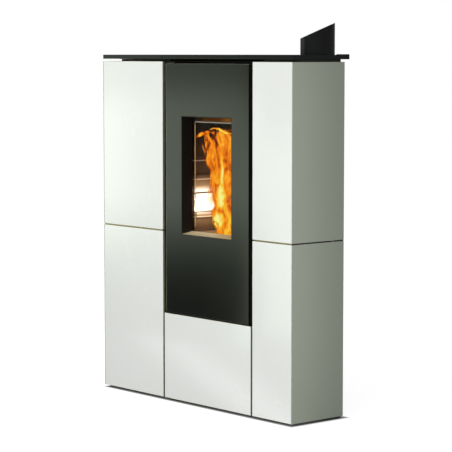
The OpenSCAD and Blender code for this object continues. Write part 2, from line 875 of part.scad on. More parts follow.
module hopper_funnel() {
    t = tray_t;
    ny0 = feed_y - neck_d / 2;
    ny1 = feed_y + neck_d / 2;
    color(zinc)
        difference() {
            union() {
                funnel([hx0, hy0], [hx1, hy1], [neck_x0 - t, ny0 - t], [neck_x1 + t, ny1 + t], neck_z, bin_z);
                box([neck_x0 - t, ny0 - t, neck_z - neck_l], [neck_x1 + t, ny1 + t, neck_z]);
            }
            funnel([hx0 + t, hy0 + t], [hx1 - t, hy1 - t], [neck_x0, ny0], [neck_x1, ny1], neck_z, bin_z);
            box([neck_x0, ny0, neck_z - neck_l - e], [neck_x1, ny1, neck_z]);
            on_feed() {
                translate([0, 0, -feed_l - 50])
                    cylinder(h = feed_l, r = feed_r + fit_gap);
                translate([0, -60, -feed_l - 150])
                    cube([200, 120, feed_l]);
            }
        }
}

module feed_tube() {
    color(zinc)
        difference() {
            on_feed()
                difference() {
                    translate([0, 0, -feed_l])
                        cylinder(h = feed_l + 28, r = feed_r);
                    translate([0, 0, 3 - feed_l])
                        cylinder(h = feed_l + 22, r = feed_r - feed_wall);
                    translate([0, 0, -feed_l - e])
                        cylinder(h = feed_l + 40, r = shaft_d / 2 + run_clear);
                }
            intersection() {
                box([neck_x0, feed_y - 18, 200], [neck_x1, feed_y + 18, neck_z + 20]);
                on_feed()
                    translate([-100, -50, -feed_l - 50])
                        cube([100, 100, feed_l]);
            }
            intersection() {
                box([dcx - 22, feed_y - 18, chute_z0], [dcx + 20, feed_y + 18, feed_z + 60]);
                on_feed()
                    translate([0, -50, -100])
                        cube([100, 100, 200]);
            }
        }
}

module feed_screw() {
    n = (feed_l + 8) / screw_pitch;
    color(steel)
        on_feed() {
            translate([0, 0, -feed_l - 30])
                cylinder(h = feed_l + 57, r = shaft_d / 2);
            translate([0, 0, 5 - feed_l])
                cylinder(h = feed_l + 15, r = screw_core_d / 2);
            translate([0, 0, 8 - feed_l])
                linear_extrude(height = feed_l + 8, twist = -360 * n, slices = ceil(n * 12), segments = 5)
                    polygon([[0, -2], [screw_r, -1.5], [screw_r, 1.5], [0, 2]]);
        }
}

module feed_motor() {
    color(steel)
        on_feed()
            difference() {
                union() {
                    translate([0, 0, -feed_l - 60])
                        cylinder(h = 34, r = 27);
                    translate([-26, -26, -feed_l - 26])
                        cube([52, 52, 26]);
                }
                translate([0, 0, -feed_l - 32])
                    cylinder(h = 40, r = shaft_d / 2 + run_clear);
            }
}

module pellet_chute() {
    y1 = feed_y + 21;
    color(zinc)
        difference() {
            box([dcx - chute_w / 2 - 2, fy2, chute_z0 - 4], [dcx + chute_w / 2 + 2, y1, feed_z - 20]);
            translate([dcx - chute_w / 2, 0, 0])
                rotate([90, 0, 90])
                    linear_extrude(height = chute_w)
                        polygon([[fy2 - e, chute_z0], [fy2 - e, chute_z0 + chute_h - 2], [fy2 + 4, chute_z0 + chute_h - 2],
                                 [fy2 + 6, feed_z], [y1 - 2, feed_z], [y1 - 2, chute_z0 + 46]]);
            on_feed()
                translate([0, 0, -200])
                    cylinder(h = 400, r = feed_r + fit_gap);
        }
}

module air_intake() {
    color(zinc)
        difference() {
            union() {
                rod_y(dcx, intake_z, fy2, ys, intake_od / 2);
                rod_y(dcx, intake_z, fy2, fy2 + 3, intake_od / 2 + 8);
            }
            rod_y(dcx, intake_z, fy2 - e, ys + e, intake_od / 2 - 2);
        }
}

module blower_housing() {
    y0 = fy2 + 6;
    z0 = blow_z - 42;
    z1 = z0 + blower_h;
    color(zinc) {
        difference() {
            box([blow_x0, y0, z0], [blow_x1, y_back, z1]);
            box([blow_x0 + 2, y0 + 2, z0 + 2], [blow_x1 - 2, y_back - 2, z1 + e]);
            box([blow_x0 + 8, y_back - 3, blow_z - 36], [blow_x1 - 8, y_back + e, blow_z + 20]);
            rod_x(blow_y, blow_z, blow_x0 - e, blow_x1 + e, shaft_d / 2 + run_clear);
        }
        difference() {
            rod_x(blow_y, blow_z, blow_x0 - 60, blow_x0, 24);
            rod_x(blow_y, blow_z, blow_x0 - 40, blow_x0 + e, shaft_d / 2 + run_clear);
        }
    }
}

module blower_rotor() {
    x0 = blow_x0 + 6;
    x1 = blow_x1 - 6;
    r = blower_d / 2;
    color(steel) {
        rod_x(blow_y, blow_z, blow_x0 - 38, blow_x1, shaft_d / 2);
        for (x = [x0, (x0 + x1) / 2 - 1, x1 - 2])
            rod_x(blow_y, blow_z, x, x + 2, r);
        for (i = [0:blade_n - 1])
            translate([0, blow_y, blow_z])
                rotate([i * 360 / blade_n, 0, 0])
                    translate([x0, r - 7, 0])
                        rotate([25, 0, 0])
                            translate([0, 0, -0.5])
                                cube([x1 - x0, 6, 1]);
    }
}

module control_board() {
    x0 = pr1 + 6;
    x1 = x0 + 2;
    y0 = yf + 40;
    y1 = y0 + board_w;
    z0 = board_z0;
    z1 = z0 + board_h;
    color([0.05, 0.3, 0.15]) {
        box([x0, y0, z0], [x1, y1, z1]);
        for (y = [y0 + 8, y1 - 8], z = [z0 + 8, z1 - 8])
            rod_x(y, z, pr1, x0, 3);
        box([x1, y0 + 10, z0 + 20], [x1 + 26, y0 + 40, z0 + 60]);
        box([x1, y1 - 30, z0 + 20], [x1 + 12, y1 - 8, z0 + 80]);
        for (i = [0:4])
            box([x1, y0 + 8 + i * 13, z1 - 24], [x1 + 10, y0 + 18 + i * 13, z1 - 10]);
    }
}

module rear_sockets() {
    color(black)
        difference() {
            union() {
                box([fan_x - 62, yb, sock_z - 32], [fan_x + 62, yb + 2, sock_z + 32]);
                box([fan_x - 54, yb - 26, sock_z - 13], [fan_x - 22, yb, sock_z + 13]);
                box([fan_x - 16, yb - 18, sock_z - 16], [fan_x + 12, yb, sock_z + 16]);
                rod_y(fan_x + 36, sock_z, yb - 18, yb + 1, 13);
            }
            box([fan_x - 51, yb - 22, sock_z - 10], [fan_x - 25, yb + 3, sock_z + 10]);
            box([fan_x - 13, yb - 16, sock_z - 13], [fan_x + 9, yb + 3, sock_z + 13]);
            rod_y(fan_x + 36, sock_z, yb - 16, yb + 3, 4.1);
        }
    color(zinc)
        for (x = [-44, -38, -32])
            box([fan_x + x - 1, yb - 22, sock_z - (x == -38 ? -1 : 5)], [fan_x + x + 1, yb - 6, sock_z + (x == -38 ? 7 : 1)]);
}

module power_switch() {
    color(black)
        translate([fan_x - 2, yb - 3, sock_z]) {
            rotate([8, 0, 0])
                translate([-9.5, -4, -10])
                    cube([19, 10, 20]);
            rod_x(0, 0, -11, 11, 1.5);
        }
}

module reset_button() {
    color([0.7, 0.1, 0.08])
        rod_y(fan_x + 36, sock_z, yb - 11, yb + 6, 3.8);
}

module hinge_brackets() {
    x1 = hinge_x + 9;
    y0 = hinge_y - 9;
    r = hinge_pin_d / 2;
    color(zinc) {
        box([pl1, y0, door_z0 - 9], [x1, y_front, door_z0 - 4]);
        translate([hinge_x, hinge_y, door_z0 - 9]) {
            cylinder(h = 9 + door_set - fit_gap, r = r + 3);
            cylinder(h = 9 + hinge_pin_l, r = r);
        }
        box([pl1, y0, door_z1 + 2], [x1, y_front, door_z1 + 5]);
        translate([hinge_x, hinge_y, door_z1 - hinge_pin_l])
            cylinder(h = hinge_pin_l + 8, r = r);
    }
}

module drawer_runners() {
    color(zinc)
        for (m = [0, 1])
            translate([dcx, 0, 0])
                mirror([m, 0, 0]) {
                    box([tray_x0 - dcx - 7, y_tile + 12, z_base], [tray_x0 - dcx + 7, tray_y1 - 2, tray_z0 - fit_gap]);
                    box([tray_x0 - dcx - 7, y_tile + 12, z_base], [tray_x0 - dcx - 1, tray_y1 - 2, tray_z0 + 20]);
                }
}

function lid_hinge_x() = [xl + 70, lid_x1 - 70];

module lid_hinges() {
    color(zinc)
        for (x = lid_hinge_x()) {
            box([x - 24, y_back - 11, z_pan], [x + 24, y_back, z_pan + 2]);
            box([x - 10, y_back - 11, z_pan], [x + 10, lid_ax_y, z_pan + 2]);
            rod_x(lid_ax_y, lid_ax_z, x - 10, x + 10, knuckle_r);
            rod_x(lid_ax_y, lid_ax_z, x - 19, x + 19, lid_pin_r);
        }
}

module hopper_lid() {
    color(black)
        difference() {
            union() {
                difference() {
                    box([xl, yf, z_slab], [lid_x1, ys, total_h]);
                    box([xl + sheet_t, yf + sheet_t, z_slab - e], [lid_x1 - sheet_t, ys - sheet_t, total_h - sheet_t]);
                }
                for (x = lid_hinge_x(), s = [-1, 1]) {
                    rod_x(lid_ax_y, lid_ax_z, x + s * 14.2 - 4, x + s * 14.2 + 4, knuckle_r);
                    box([x + s * 14.2 - 4, lid_ax_y - 2, lid_ax_z], [x + s * 14.2 + 4, lid_ax_y + 2, total_h - 1]);
                }
            }
            for (x = lid_hinge_x())
                rod_x(lid_ax_y, lid_ax_z, x - 20, x + 20, lid_pin_r + run_clear);
        }
}

module lid_seal() {
    color([0.12, 0.12, 0.12])
        difference() {
            collar_box(z_slab - 1 + fit_gap, total_h - sheet_t, 5);
            collar_box(z_slab - 2, total_h, -7);
        }
}

module door_panel() {
    g = lip_w + fit_gap;
    color([0.1, 0.11, 0.1])
        difference() {
            box([dx0, yf, door_z0], [dx1, yf + outer_glass_t, door_z1]);
            box([wx0 - g, yf - e, window_z0 - g], [wx1 + g, yf + outer_glass_t + e, window_z1 + g]);
        }
}

module window_reveal() {
    color([0.2, 0.17, 0.13])
        difference() {
            box([wx0 - lip_w, yf, window_z0 - lip_w], [wx1 + lip_w, y_reveal, window_z1 + lip_w]);
            taper(wx0, wx1, window_z0, window_z1, wx0 + reveal_side, wx1 - reveal_side,
                  win_in_z0, win_in_z1, yf, y_reveal);
        }
}

module door_frame() {
    x0 = dx0 + door_set;
    x1 = dx1 - door_set;
    y0 = yf + outer_glass_t;
    z0 = door_z0 + door_set;
    z1 = door_z1 - door_set;
    g = lip_w + fit_gap;
    br = hinge_pin_d / 2 + 4;
    color(steel)
        difference() {
            union() {
                difference() {
                    box([x0, y0, z0], [x1, y_door, z1]);
                    box([x0 + sheet_t, y0 - e, z0 + sheet_t], [x1 - sheet_t, y_door - 3, z1 - sheet_t]);
                }
                translate([hinge_x, hinge_y, z0])
                    cylinder(h = hinge_pin_l + 6, r = br);
                translate([hinge_x, hinge_y, z1 - hinge_pin_l - 6])
                    cylinder(h = hinge_pin_l + 6, r = br);
                rod_x(lever_y, lever_z, x1 - sheet_t, dx1 + 6, 3);
                rod_x(lever_y, lever_z, dx1 + 4, dx1 + 6, 5);
            }
            box([wx0 - g, y_door - 4, window_z0 - g], [wx1 + g, y_door + e, window_z1 + g]);
            translate([hinge_x, hinge_y, z0 - e])
                cylinder(h = hinge_pin_l + e, r = hinge_pin_d / 2 + run_clear);
            translate([hinge_x, hinge_y, z1 - hinge_pin_l])
                cylinder(h = hinge_pin_l + e, r = hinge_pin_d / 2 + run_clear);
        }
}

module latch_lever() {
    x0 = dx1 + 0.5;
    x1 = dx1 + 3.5;
    color(black)
        difference() {
            union() {
                box([x0, lever_y - 7, lever_z - lever_l], [x1, lever_y + 7, lever_z]);
                rod_x(lever_y, lever_z, x0, x1, 7);
                box([x0, lever_y, lever_z - 10], [x1, y_front - 6 - fit_gap, lever_z]);
                box([x0, y_front - 16, lever_z - 10], [pr0 - 8, y_front - 6 - fit_gap, lever_z]);
                rod_x(lever_y, lever_z - lever_l, x0, x1, 7);
            }
            rod_x(lever_y, lever_z, x0 - e, x1 + e, 3 + run_clear);
        }
}

module window_glass() {
    color([0.6, 0.6, 0.55])
        box([gx0, y_door, gz0], [gx1, y_door + fire_glass_t, gz1]);
}

module glass_retainers() {
    y1 = y_door + fire_glass_t;
    w = 7;
    color(zinc)
        difference() {
            box([gx0 - w, y_door, gz0 - w], [gx1 + w, y1 + 2, gz1 + w]);
            box([gx0 - fit_gap, y_door - e, gz0 - fit_gap], [gx1 + fit_gap, y1, gz1 + fit_gap]);
            box([gx0 + w, y_door, gz0 + w], [gx1 - w, y1 + 3, gz1 - w]);
        }
}

module door_gasket() {
    color([0.2, 0.2, 0.2])
        ring_xz(fx0 - 4, mouth_z0 - 4, fx1 + 4, mouth_z1 + 4, y_door, y_front - rim_d - fit_gap, rope_w);
}

module ash_drawer() {
    t = tray_t;
    color(zinc)
        difference() {
            union() {
                box([tray_x0, y_tile + t, tray_z0], [tray_x1, tray_y1, tray_z0 + tray_h]);
                box([col_l + drawer_gap + 4, y_tile, z_base + 1], [col_r - drawer_gap - 4, y_tile + 2, drawer_z1 - 4]);
            }
            box([tray_x0 + t, y_tile + 2 + t, tray_z0 + t], [tray_x1 - t, tray_y1 - t, tray_z0 + tray_h + e]);
        }
}

module drawer_front() {
    tile(col_l + drawer_gap, col_r - drawer_gap, plinth_h, drawer_z1);
}

base_plate();
plinth();
levelling_feet();
corner_posts();
partitions();
top_plate();
hopper_collar();
back_panel();
panel_screws();
tile_left_upper();
tile_left_lower();
tile_right_upper();
tile_right_lower();
side_left_upper();
side_left_lower();
side_right_upper();
side_right_lower();
seam_profiles();
top_slab();
control_bezel();
rear_cover();
flue_sleeve();
flue_pipe();
firebox_shell();
firebox_back();
firebox_front();
side_liners();
back_liner();
baffle();
pot_seat();
igniter();
heat_tubes();
smoke_collector();
smoke_riser();
smoke_elbow();
exhaust_housing();
hopper_bin();
hopper_funnel();
feed_tube();
feed_motor();
pellet_chute();
air_intake();
blower_housing();
control_board();
rear_sockets();
hinge_brackets();
drawer_runners();
lid_hinges();
door_panel();
door_frame();
window_reveal();
window_glass();
glass_retainers();
door_gasket();
latch_lever();
hopper_lid();
lid_seal();
ash_drawer();
drawer_front();
burn_pot();
feed_screw();
exhaust_impeller();
blower_rotor();
power_switch();
reset_button();
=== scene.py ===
"""Slim corridor pellet stove: finishes, fittings, fire, studio and camera."""

import json
import math
import random

import bmesh
import bpy
from mathutils import Matrix, Vector


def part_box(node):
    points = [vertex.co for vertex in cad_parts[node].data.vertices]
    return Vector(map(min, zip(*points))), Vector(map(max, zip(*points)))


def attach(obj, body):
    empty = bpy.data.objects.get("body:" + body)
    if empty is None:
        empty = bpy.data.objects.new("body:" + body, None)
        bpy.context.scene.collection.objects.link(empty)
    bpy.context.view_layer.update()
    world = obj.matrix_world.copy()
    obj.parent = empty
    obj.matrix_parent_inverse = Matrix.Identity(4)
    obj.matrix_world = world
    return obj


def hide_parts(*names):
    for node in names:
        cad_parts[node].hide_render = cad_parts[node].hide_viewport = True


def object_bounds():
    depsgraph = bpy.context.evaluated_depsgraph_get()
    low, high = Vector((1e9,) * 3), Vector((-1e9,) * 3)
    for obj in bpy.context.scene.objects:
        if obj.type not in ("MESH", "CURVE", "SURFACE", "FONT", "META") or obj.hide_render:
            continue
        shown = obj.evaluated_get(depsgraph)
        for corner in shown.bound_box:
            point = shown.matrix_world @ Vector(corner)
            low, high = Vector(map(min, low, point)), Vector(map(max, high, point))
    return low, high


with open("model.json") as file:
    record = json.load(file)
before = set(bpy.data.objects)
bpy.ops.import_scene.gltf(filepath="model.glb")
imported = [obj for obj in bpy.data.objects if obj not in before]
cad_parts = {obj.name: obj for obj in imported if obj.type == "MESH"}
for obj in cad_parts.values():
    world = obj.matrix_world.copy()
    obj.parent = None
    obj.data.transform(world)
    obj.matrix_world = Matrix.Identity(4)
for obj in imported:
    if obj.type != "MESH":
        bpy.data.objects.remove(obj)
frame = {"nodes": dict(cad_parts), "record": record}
cad_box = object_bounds()
nodes = frame["nodes"]

MM = 0.001


# Node-tree helpers


def new_material(name):
    mat = bpy.data.materials.new(name)
    mat.use_nodes = True
    tree = mat.node_tree
    tree.nodes.clear()
    out = tree.nodes.new("ShaderNodeOutputMaterial")
    return mat, tree, out


def add(tree, kind, **values):
    node = tree.nodes.new(kind)
    for key, value in values.items():
        if hasattr(node, key):
            setattr(node, key, value)
        else:
            node.inputs[key.replace("_", " ").title()].default_value = value
    return node


def link(tree, a, b):
    tree.links.new(a, b)


def ranged(tree, source, span, wanted=(0.0, 1.0), smooth=False):
    """Source's values over span, mapped to the wanted range and clamped."""
    node = tree.nodes.new("ShaderNodeMapRange")
    if smooth:
        node.interpolation_type = "SMOOTHSTEP"
    node.inputs["From Min"].default_value, node.inputs["From Max"].default_value = span
    node.inputs["To Min"].default_value, node.inputs["To Max"].default_value = wanted
    link(tree, source, node.inputs["Value"])
    return node.outputs[0]


def surface(tree, out, color, roughness=0.5, metallic=0.0, coat=0.0, coat_roughness=0.03, ior=1.5,
            specular=0.5):
    shader = tree.nodes.new("ShaderNodeBsdfPrincipled")
    shader.inputs["Base Color"].default_value = (*color, 1)
    shader.inputs["Roughness"].default_value = roughness
    shader.inputs["Metallic"].default_value = metallic
    shader.inputs["Coat Weight"].default_value = coat
    shader.inputs["Coat Roughness"].default_value = coat_roughness
    shader.inputs["IOR"].default_value = ior
    shader.inputs["Specular IOR Level"].default_value = specular
    link(tree, shader.outputs[0], out.inputs["Surface"])
    return shader


def group_socket(group, name, way, kind, value=None):
    socket = group.interface.new_socket(name=name, in_out=way, socket_type=kind)
    if value is not None:
        socket.default_value = value
    return socket


# Shared effects


def make_mottle():
    """Cloudy colour between two tints, with a fine speckle, over object space."""
    g = bpy.data.node_groups.new("Mottle", "ShaderNodeTree")
    group_socket(g, "Light Tint", "INPUT", "NodeSocketColor", (1, 1, 1, 1))
    group_socket(g, "Dark Tint", "INPUT", "NodeSocketColor", (0.5, 0.5, 0.5, 1))
    group_socket(g, "Cloud Scale", "INPUT", "NodeSocketFloat", 6.0)
    group_socket(g, "Speckle Scale", "INPUT", "NodeSocketFloat", 240.0)
    group_socket(g, "Speckle", "INPUT", "NodeSocketFloat", 0.2)
    group_socket(g, "Color", "OUTPUT", "NodeSocketColor")
    group_socket(g, "Mask", "OUTPUT", "NodeSocketFloat")
    gi = g.nodes.new("NodeGroupInput")
    go = g.nodes.new("NodeGroupOutput")
    coord = g.nodes.new("ShaderNodeTexCoord")
    cloud = add(g, "ShaderNodeTexNoise", detail=4.0)
    speck = add(g, "ShaderNodeTexNoise", detail=2.0)
    for noise, scale in ((cloud, "Cloud Scale"), (speck, "Speckle Scale")):
        link(g, coord.outputs["Object"], noise.inputs["Vector"])
        link(g, gi.outputs[scale], noise.inputs["Scale"])
    blend = g.nodes.new("ShaderNodeMix")
    blend.data_type = "FLOAT"
    link(g, gi.outputs["Speckle"], blend.inputs["Factor"])
    link(g, cloud.outputs["Fac"], blend.inputs[2])
    link(g, speck.outputs["Fac"], blend.inputs[3])
    tint = g.nodes.new("ShaderNodeMix")
    tint.data_type = "RGBA"
    link(g, blend.outputs[0], tint.inputs["Factor"])
    link(g, gi.outputs["Dark Tint"], tint.inputs[6])
    link(g, gi.outputs["Light Tint"], tint.inputs[7])
    link(g, tint.outputs[2], go.inputs["Color"])
    link(g, blend.outputs[0], go.inputs["Mask"])
    return g


def make_ripple():
    """Slow waviness with a fine peel on top, as a bump normal."""
    g = bpy.data.node_groups.new("Ripple", "ShaderNodeTree")
    group_socket(g, "Wave Scale", "INPUT", "NodeSocketFloat", 4.0)
    group_socket(g, "Peel Scale", "INPUT", "NodeSocketFloat", 300.0)
    group_socket(g, "Peel", "INPUT", "NodeSocketFloat", 0.3)
    group_socket(g, "Strength", "INPUT", "NodeSocketFloat", 0.1)
    group_socket(g, "Normal", "OUTPUT", "NodeSocketVector")
    group_socket(g, "Height", "OUTPUT", "NodeSocketFloat")
    gi = g.nodes.new("NodeGroupInput")
    go = g.nodes.new("NodeGroupOutput")
    coord = g.nodes.new("ShaderNodeTexCoord")
    wave = add(g, "ShaderNodeTexNoise", detail=1.0)
    peel = add(g, "ShaderNodeTexNoise", detail=2.0)
    for noise, scale in ((wave, "Wave Scale"), (peel, "Peel Scale")):
        link(g, coord.outputs["Object"], noise.inputs["Vector"])
        link(g, gi.outputs[scale], noise.inputs["Scale"])
    both = g.nodes.new("ShaderNodeMix")
    both.data_type = "FLOAT"
    link(g, gi.outputs["Peel"], both.inputs["Factor"])
    link(g, wave.outputs["Fac"], both.inputs[2])
    link(g, peel.outputs["Fac"], both.inputs[3])
    bump = add(g, "ShaderNodeBump")
    bump.inputs["Distance"].default_value = 0.001
    link(g, gi.outputs["Strength"], bump.inputs["Strength"])
    link(g, both.outputs[0], bump.inputs["Height"])
    link(g, bump.outputs["Normal"], go.inputs["Normal"])
    link(g, both.outputs[0], go.inputs["Height"])
    return g


def make_edge_wear():
    """Brightens convex edges a little, from the surface's own bevel."""
    g = bpy.data.node_groups.new("Edge Wear", "ShaderNodeTree")
    group_socket(g, "Color", "INPUT", "NodeSocketColor", (0.5, 0.5, 0.5, 1))
    group_socket(g, "Worn Color", "INPUT", "NodeSocketColor", (0.8, 0.8, 0.8, 1))
    group_socket(g, "Amount", "INPUT", "NodeSocketFloat", 0.5)
    group_socket(g, "Color", "OUTPUT", "NodeSocketColor")
    gi = g.nodes.new("NodeGroupInput")
    go = g.nodes.new("NodeGroupOutput")
    geo = g.nodes.new("ShaderNodeNewGeometry")
    ramp = ranged(g, geo.outputs["Pointiness"], (0.52, 0.64))
    scale = add(g, "ShaderNodeMath", operation="MULTIPLY")
    link(g, ramp, scale.inputs[0])
    link(g, gi.outputs["Amount"], scale.inputs[1])
    tint = g.nodes.new("ShaderNodeMix")
    tint.data_type = "RGBA"
    link(g, scale.outputs[0], tint.inputs["Factor"])
    link(g, gi.outputs["Color"], tint.inputs[6])
    link(g, gi.outputs["Worn Color"], tint.inputs[7])
    link(g, tint.outputs[2], go.inputs["Color"])
    return g


MOTTLE = make_mottle()
RIPPLE = make_ripple()
EDGE_WEAR = make_edge_wear()


def effect(tree, group, **values):
    node = tree.nodes.new("ShaderNodeGroup")
    node.node_tree = group
    for key, value in values.items():
        node.inputs[key.replace("_", " ").title()].default_value = value
    return node


def rgba(color, lift=1.0):
    return (color[0] * lift, color[1] * lift, color[2] * lift, 1)


def finish_paint(name, color, roughness, coat=0.0, spread=0.06, wave=3.0, peel=380.0, peel_share=0.3,
                 strength=0.08, metallic=0.0, coat_roughness=0.08, specular=0.5, wear=0.0,
                 worn=(0.5, 0.5, 0.5)):
    """Paint, plastic, cast or sheet finish: mottled colour, varied roughness, peel bump."""
    mat, tree, out = new_material(name)
    shader = surface(tree, out, color, roughness, metallic, coat, coat_roughness, specular=specular)
    mottle = effect(tree, MOTTLE, light_tint=rgba(color, 1 + spread), dark_tint=rgba(color, 1 - spread))
    source = mottle.outputs["Color"]
    if wear:
        edge = effect(tree, EDGE_WEAR, worn_color=(*worn, 1), amount=wear)
        link(tree, source, edge.inputs["Color"])
        source = edge.outputs["Color"]
    link(tree, source, shader.inputs["Base Color"])
    rough_span = (max(roughness - 0.05, 0.02), roughness + 0.05)
    rough = ranged(tree, mottle.outputs["Mask"], (0.0, 1.0), rough_span)
    link(tree, rough, shader.inputs["Roughness"])
    ripple = effect(tree, RIPPLE, wave_scale=wave, peel_scale=peel, peel=peel_share, strength=strength)
    link(tree, ripple.outputs["Normal"], shader.inputs["Normal"])
    return mat


def finish_brushed(name, color, roughness, along=(1.0, 1.0, 60.0), strength=0.15):
    """Metal with fine parallel scratches; along stretches the grain."""
    mat, tree, out = new_material(name)
    shader = surface(tree, out, color, roughness, 1.0)
    coord = tree.nodes.new("ShaderNodeTexCoord")
    mapping = tree.nodes.new("ShaderNodeMapping")
    mapping.inputs["Scale"].default_value = along
    grain = add(tree, "ShaderNodeTexNoise", detail=6.0)
    grain.inputs["Scale"].default_value = 40.0
    link(tree, coord.outputs["Object"], mapping.inputs["Vector"])
    link(tree, mapping.outputs[0], grain.inputs["Vector"])
    mottle = effect(tree, MOTTLE, light_tint=rgba(color, 1.08), dark_tint=rgba(color, 0.85),
                    cloud_scale=9.0)
    link(tree, mottle.outputs["Color"], shader.inputs["Base Color"])
    rough = ranged(tree, grain.outputs["Fac"], (0.0, 1.0), (roughness - 0.1, roughness + 0.15))
    link(tree, rough, shader.inputs["Roughness"])
    bump = add(tree, "ShaderNodeBump")
    bump.inputs["Strength"].default_value = strength
    bump.inputs["Distance"].default_value = 0.0004
    link(tree, grain.outputs["Fac"], bump.inputs["Height"])
    link(tree, bump.outputs["Normal"], shader.inputs["Normal"])
    return mat


def finish_fire_glass():
    mat, tree, out = new_material("Fire Glass")
    shader = surface(tree, out, (0.96, 0.95, 0.92), 0.03)
    shader.inputs["Transmission Weight"].default_value = 0.0
    shader.inputs["Alpha"].default_value = 0.05
    film = effect(tree, MOTTLE, light_tint=(0.10, 0.09, 0.07, 1), dark_tint=(0.02, 0.018, 0.015, 1),
                  cloud_scale=14.0)
    link(tree, film.outputs["Color"], shader.inputs["Base Color"])
    return mat


# Height and colour of the lining: pale at the foot, dark brown, a near-white band of painted fire glare, then
# darker towards the top and black at the top
BRICK_STOPS = (
    (0.549, (0.62, 0.54, 0.42)),
    (0.576, (0.10, 0.060, 0.032)),
    (0.622, (0.24, 0.165, 0.095)),
    # Painted fire glare: a near-white band on the lining
    (0.637, (0.92, 0.88, 0.83)),
    (0.703, (0.92, 0.88, 0.83)),
    (0.718, (0.30, 0.220, 0.125)),
    (0.756, (0.090, 0.060, 0.038)),
    (0.819, (0.050, 0.030, 0.024)),
    (0.879, (0.010, 0.008, 0.007)),
)
RIB_FOOT = 0.366
RIB_PITCH = 0.062
RIB_TOP = 0.018 / RIB_PITCH


def height_ramp(tree, source, stops):
    """Colours by height in metres, whatever the range of the stops."""
    low, high = stops[0][0], stops[-1][0]
    level = ranged(tree, source, (low, high))
    ramp = tree.nodes.new("ShaderNodeValToRGB")
    held = ramp.color_ramp.elements
    for height, color in stops[1:-1]:
        held.new((height - low) / (high - low))
    for stop, (height, color) in zip(held, stops):
        stop.position = (height - low) / (high - low)
        stop.color = (*color, 1)
    link(tree, level, ramp.inputs[0])
    return ramp.outputs[0]


def band(tree, source, middle, half):
    """1 at the middle of a band, fading to 0 at half its width away."""
    gap = add(tree, "ShaderNodeMath", operation="SUBTRACT")
    gap.inputs[1].default_value = middle
    link(tree, source, gap.inputs[0])
    size = add(tree, "ShaderNodeMath", operation="ABSOLUTE")
    link(tree, gap.outputs[0], size.inputs[0])
    return ranged(tree, size.outputs[0], (0.0, half), (1.0, 0.0))


def finish_fire_brick():
    """Ribbed firebox lining: a near-white band of painted fire glare, darker towards the top, with a painted
    shadow line over each rib and a painted fire-lit line at each rib's foot.
    """
    mat, tree, out = new_material("Fire Brick")
    shader = surface(tree, out, (0.42, 0.36, 0.29), 0.55)
    coord = tree.nodes.new("ShaderNodeTexCoord")
    parts = tree.nodes.new("ShaderNodeSeparateXYZ")
    link(tree, coord.outputs["Object"], parts.inputs[0])
    zone = height_ramp(tree, parts.outputs["Z"], BRICK_STOPS)
    grain = effect(tree, MOTTLE, light_tint=(1, 1, 1, 1), dark_tint=(0.55, 0.50, 0.46, 1),
                   cloud_scale=18.0, speckle=0.4)
    mixed = tree.nodes.new("ShaderNodeMix")
    mixed.data_type = "RGBA"
    mixed.blend_type = "MULTIPLY"
    mixed.inputs["Factor"].default_value = 0.6
    link(tree, zone, mixed.inputs[6])
    link(tree, grain.outputs["Color"], mixed.inputs[7])
    above = add(tree, "ShaderNodeMath", operation="SUBTRACT")
    above.inputs[1].default_value = RIB_FOOT
    link(tree, parts.outputs["Z"], above.inputs[0])
    turn = add(tree, "ShaderNodeMath", operation="DIVIDE")
    turn.inputs[1].default_value = RIB_PITCH
    link(tree, above.outputs[0], turn.inputs[0])
    phase = add(tree, "ShaderNodeMath", operation="FRACT")
    link(tree, turn.outputs[0], phase.inputs[0])
    # Height below which the painted rib shadow and fire-lit lines show, fading out above it
    rib_light_shown = ranged(tree, parts.outputs["Z"], (0.79, 0.84), (1.0, 0.0))
    source = mixed.outputs[2]
    # Per rib: a painted shadow line at its top and a painted fire-lit line at its foot
    for middle, half, color in ((RIB_TOP, 0.055, (0.015, 0.010, 0.008)), (0.03, 0.050, (0.75, 0.62, 0.50))):
        line = tree.nodes.new("ShaderNodeMix")
        line.data_type = "RGBA"
        line.inputs[7].default_value = (*color, 1)
        shown = add(tree, "ShaderNodeMath", operation="MULTIPLY")
        link(tree, band(tree, phase.outputs[0], middle, half), shown.inputs[0])
        link(tree, rib_light_shown, shown.inputs[1])
        link(tree, shown.outputs[0], line.inputs["Factor"])
        link(tree, source, line.inputs[6])
        source = line.outputs[2]
    link(tree, source, shader.inputs["Base Color"])
    ripple = effect(tree, RIPPLE, wave_scale=40.0, peel_scale=500.0, peel=0.5, strength=0.35)
    link(tree, ripple.outputs["Normal"], shader.inputs["Normal"])
    return mat


def finish_rope(name, color):
    """Braided glass fibre: diagonal waves of a knit."""
    mat, tree, out = new_material(name)
    shader = surface(tree, out, color, 0.9)
    coord = tree.nodes.new("ShaderNodeTexCoord")
    wave = add(tree, "ShaderNodeTexWave", bands_direction="DIAGONAL", distortion=1.5)
    wave.inputs["Scale"].default_value = 110.0
    link(tree, coord.outputs["Object"], wave.inputs["Vector"])
    tint = tree.nodes.new("ShaderNodeMix")
    tint.data_type = "RGBA"
    tint.inputs[6].default_value = rgba(color, 0.6)
    tint.inputs[7].default_value = rgba(color, 1.5)
    link(tree, wave.outputs["Fac"], tint.inputs["Factor"])
    link(tree, tint.outputs[2], shader.inputs["Base Color"])
    bump = add(tree, "ShaderNodeBump")
    bump.inputs["Strength"].default_value = 0.6
    bump.inputs["Distance"].default_value = 0.0008
    link(tree, wave.outputs["Fac"], bump.inputs["Height"])
    link(tree, bump.outputs["Normal"], shader.inputs["Normal"])
    return mat


